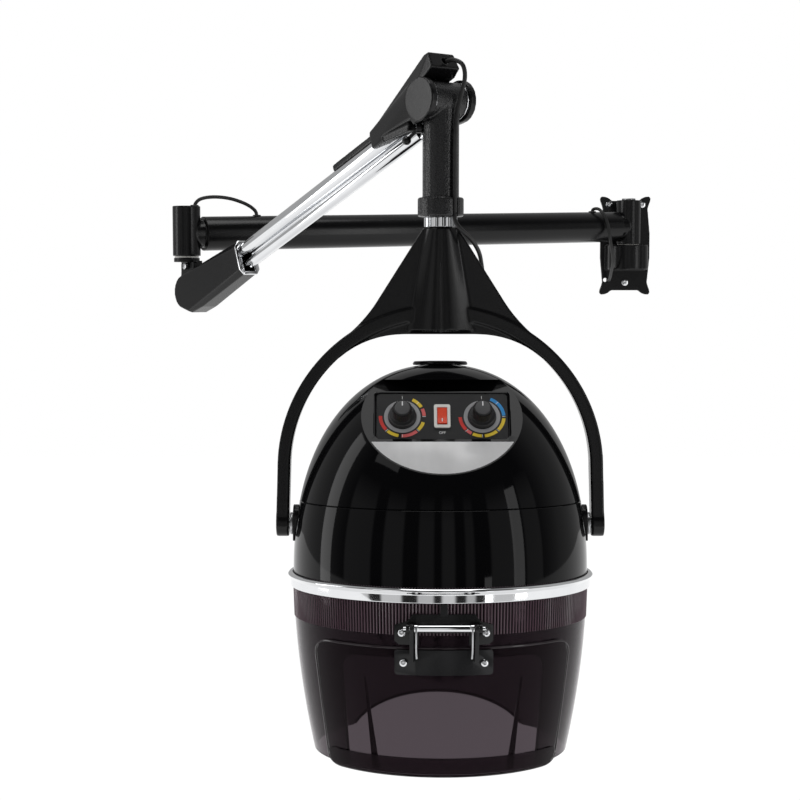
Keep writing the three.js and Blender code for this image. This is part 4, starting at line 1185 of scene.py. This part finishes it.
def panel():
    """The panel's plate with its switch and shaft holes, and the printed scales."""
    holes = [prism(rounded_rect(14.8, 24.8, 1.5), -5, 8, PANEL)]
    for x in (-KNOB_X, KNOB_X):
        holes.append(prism([p[:2] for p in circle(4.5, 0, 32)], -5, 8, PANEL @ shift(x, 0, 0)))
    plate = combine(prism(rounded_rect(PANEL_WIDE, PANEL_TALL, 4), 0, PLATE_TOP, PANEL),
                    [("DIFFERENCE", hole) for hole in holes])
    shade(plate)
    add("panel_face", plate, PANEL_GREY, "hood", "grey_plastic", "panel_plate")
    tick = box_shape((-1.9, -0.22, 0), (1.9, 0.22, 0.13))
    for name, x, marks in (("timer", -KNOB_X, LEFT_DIAL), ("heat", KNOB_X, RIGHT_DIAL)):
        at = PANEL @ shift(x, 0, PLATE_TOP)
        sectors = [(22.2, 26.0, a, b, colour) for a, b, colour in marks] + [(15.9, 20.2, 0, 360, PALE)]
        add(name + "_scale", ink_mesh(name + "_scale", sectors, at), DIAL_INK, "hood", "grey_plastic")
        ticks = round_arc(tick, at, PRINT_WHITE, 6, 24.1, 225, 270)
        add(name + "_ticks", ticks, PRINT_WHITE, "hood", "grey_plastic")


panel()


def knob(name, x, node):
    """A skirted knob with a ribbed grip, a flat grey end and a pointer line."""
    at = PANEL @ shift(x, 0, 0)
    base = soften([(15.5, 3), (15.2, 6.4), (14.2, 8), (11.0, 8.6), (9.8, 20), (9.2, 23.4), (8.5, 23.4),
                   (8.5, 22.8)], 0.5, 3, loop=False)
    body = mesh_of("body", spin([(0, 3)] + base + [(0, 22.8)], 72, loop=False), at)
    shaft = mesh_of("shaft", spin(soften([(4, -12), (4, 3.2), (0.3, 3.2), (0.3, -12)], 0.4, 2), 24), at)
    rib = prism_shape([(-0.5, -0.75), (0.45, -0.5), (0.45, 0.5), (-0.5, 0.75)], 9, 21.5)
    ribs = round_arc(rib, at, KNOB_BLACK, 28, 10.2)
    settle(merge(name, [body, shaft, ribs], KNOB_BLACK), node, "black_knob", node)
    end = soften([(8.3, 22.7), (8.3, 23.7), (7.6, 24), (2, 24.1)], 0.3, 3, loop=False)
    face = mesh_of("face", spin([(0, 22.7)] + end + [(0, 24.1)], 64, loop=False), at)
    add(name + "_end", face, KNOB_GREY, node, "black_knob")
    pointer = mesh_of("pointer", box_shape((-0.6, 2.0, 24.0), (0.6, 7.2, 24.25)), at)
    add(name + "_pointer", pointer, PRINT_WHITE, node, "black_knob")


knob("timer_grip", -KNOB_X, "timer_knob")
knob("heat_grip", KNOB_X, "heat_knob")


def power_switch():
    """The switch's frame, its rocker and the mark on it."""
    body, well = prism(rounded_rect(14.2, 24.2, 1.0), -20, 4.0, PANEL), rounded_rect(11.4, 21.8, 0.8)
    bezel = combine(prism(rounded_rect(18, 29, 2.2), 2.7, 4.4, PANEL), [
        ("UNION", body), ("DIFFERENCE", prism(well, -9, 10, PANEL))])
    shade(bezel)
    add("switch_frame", bezel, NYLON, "hood", "pale_nylon", "switch_body")
    side = [(-9.7, -3), (9.7, -3), (9.7, 5.2), (6, 5.0), (2, 4.7), (0, 4.6), (-4, 5.0), (-9.7, 5.6)]
    shape = capped([[(x, y, z) for y, z in side] for x in (-5.3, -4.9, 4.9, 5.3)])
    rocker = mesh_of("switch_rocker", shape, PANEL, 12)
    add("switch_rocker", rocker, SWITCH_RED, "rocker", "red_plastic", "rocker")
    bar = mesh_of("bar", box_shape((-0.5, -7.5, 5.2), (0.5, -3.5, 5.55)), PANEL)
    add("switch_mark", bar, PRINT_WHITE, "rocker", "red_plastic")


power_switch()


def off_word():
    data = bpy.data.curves.new("off_word", "FONT")
    data.body = "OFF"
    data.size = 4.2 * MM
    data.extrude = 0.06 * MM
    data.align_x = "CENTER"
    text = bpy.data.objects.new("off_text", data)
    scene.collection.objects.link(text)
    bpy.context.view_layer.update()
    graph = bpy.context.evaluated_depsgraph_get()
    mesh = bpy.data.meshes.new_from_object(text.evaluated_get(graph), depsgraph=graph)
    bpy.data.objects.remove(text)
    mesh.transform(PANEL @ shift(0, -21.5, PLATE_TOP + 0.06))
    add("off_mark", mesh, PRINT_WHITE, "hood", "grey_plastic")


off_word()


# Studio, in metres
FLOOR_FRONT = 2.8
HOOD_SPOT = (-0.32, -0.8, -0.3)


def stage_plane(name, size, at, colour):
    """A pale floor that is white to the camera and in mirrors, and keeps shadows."""
    material = finish(name, [c * 0.97 for c in colour], colour, (0.6, 0.8), patch=2, grain=40)
    tree = material.node_tree
    shader = tree.nodes["Principled BSDF"]
    output = tree.nodes["Material Output"]
    rays = tree.nodes.new("ShaderNodeLightPath")
    seen, seen_all = math_node(tree, "MAXIMUM"), math_node(tree, "MAXIMUM")
    white = tree.nodes.new("ShaderNodeEmission")
    white.inputs["Strength"].default_value = 1.03
    blend = tree.nodes.new("ShaderNodeMixShader")
    wire(tree, (rays, "Is Camera Ray", seen, 0), (rays, "Is Glossy Ray", seen, 1), (seen, 0, seen_all, 0),
         (rays, "Is Transmission Ray", seen_all, 1))
    scaled = math_node(tree, "MULTIPLY")
    where = tree.nodes.new("ShaderNodeTexCoord")
    centre = tree.nodes.new("ShaderNodeVectorMath")
    centre.operation = "DISTANCE"
    centre.inputs[1].default_value = at
    far = range_node(tree, 0.7, 1.6, to_low=0.6)
    wire(tree, (where, "Object", centre, 0), (centre, "Value", far, "Value"), (far, "Result", scaled, 1),
         (seen_all, 0, scaled, 0), (scaled, 0, blend, 0), (shader, 0, blend, 1), (white, 0, blend, 2),
         (blend, 0, output, "Surface"))
    points = [(-size, -FLOOR_FRONT, 0), (size, -FLOOR_FRONT, 0), (size, size, 0), (-size, size, 0)]
    mesh = bpy.data.meshes.new(name)
    mesh.from_pydata([tuple(Vector(p) + Vector(at)) for p in points], [], [(0, 1, 2, 3)])
    link_up(name, mesh, material)


stage_plane("pale_floor", 9, (-0.36, -0.5, -1.35), (0.86, 0.86, 0.86))


def soft_light(name, at, size, power):
    """A soft box aimed at the hood."""
    data = bpy.data.lights.new(name, "AREA")
    data.shape = "RECTANGLE"
    data.size, data.size_y = size
    data.energy = power
    lamp = bpy.data.objects.new(name, data)
    lamp.location = at
    lamp.rotation_euler = (Vector(HOOD_SPOT) - Vector(at)).to_track_quat("-Z", "Y").to_euler()
    scene.collection.objects.link(lamp)


soft_light("key_box", (-2.4, -2.2, 2.3), (1.4, 1.2), 9)
soft_light("top_box", (-0.3, -0.7, 2.4), (1.6, 1.4), 20)
soft_light("right_strip", (1.5, -1.9, -0.1), (0.35, 1.5), 5)
soft_light("left_strip", (-2.1, -0.6, 0.1), (0.4, 1.8), 7)
soft_light("window_right", (0.95, -2.7, -0.75), (0.22, 0.6), 1.2)


# Bright panes that mirrors see in the dark front of the studio: from and to a bearing in degrees, and a grey
WINDOWS = [(-80, -56, 0.55), (-46, -30, 0.6), (-18, -6, 0.5), (0, 10, 0.62), (18, 25, 0.45), (38, 58, 0.6),
           (68, 84, 0.5)]


def studio_world():
    """White to the camera and through glass, dark with bright panes in mirrors, else a plain grey light."""
    world = bpy.data.worlds.new("studio_world")
    scene.world = world
    world.use_nodes = True
    tree = world.node_tree
    tree.nodes.clear()
    new = tree.nodes.new
    output = new("ShaderNodeOutputWorld")
    rays = new("ShaderNodeLightPath")
    where = new("ShaderNodeTexCoord")
    split = new("ShaderNodeSeparateXYZ")
    behind = range_node(tree, -0.2, 0.25, 0.02, 0.4)
    away = math_node(tree, "MULTIPLY")
    away.inputs[1].default_value = -1
    bearing = math_node(tree, "ARCTAN2")
    panes = new("ShaderNodeValToRGB")
    scale = range_node(tree, -pi / 2, pi / 2)
    ramp = panes.color_ramp
    ramp.elements[0].color = ramp.elements[1].color = (0, 0, 0, 1)
    for start, end, grey in WINDOWS:
        for angle, level in ((start - 1, 0), (start + 1, grey), (end - 1, grey), (end + 1, 0)):
            ramp.elements.new(0.5 + angle / 180).color = (level, level, level, 1)
    level_band = range_node(tree, 0.3, 0.5, 1, 0)
    shown, front, through = (math_node(tree, kind) for kind in ("MULTIPLY", "MAXIMUM", "MAXIMUM"))
    mirror, white, light = (new("ShaderNodeBackground") for _ in range(3))
    light.inputs["Strength"].default_value = 0.45
    first, second = new("ShaderNodeMixShader"), new("ShaderNodeMixShader")
    wire(tree, (where, "Generated", split, 0), (split, "Y", behind, "Value"), (split, "Y", away, 0),
         (split, "X", bearing, 0), (away, 0, bearing, 1), (bearing, 0, scale, "Value"),
         (scale, "Result", panes, "Fac"), (split, "Z", level_band, "Value"), (panes, "Color", shown, 0),
         (level_band, "Result", shown, 1), (shown, 0, front, 0), (behind, "Result", front, 1),
         (front, 0, mirror, "Strength"), (rays, "Is Camera Ray", through, 0),
         (rays, "Is Transmission Ray", through, 1), (rays, "Is Glossy Ray", first, 0), (light, 0, first, 1),
         (mirror, 0, first, 2), (through, 0, second, 0), (first, 0, second, 1), (white, 0, second, 2),
         (second, 0, output, "Surface"))
    for shader in (mirror, white, light):
        shader.inputs["Color"].default_value = (1, 1, 1, 1)


studio_world()
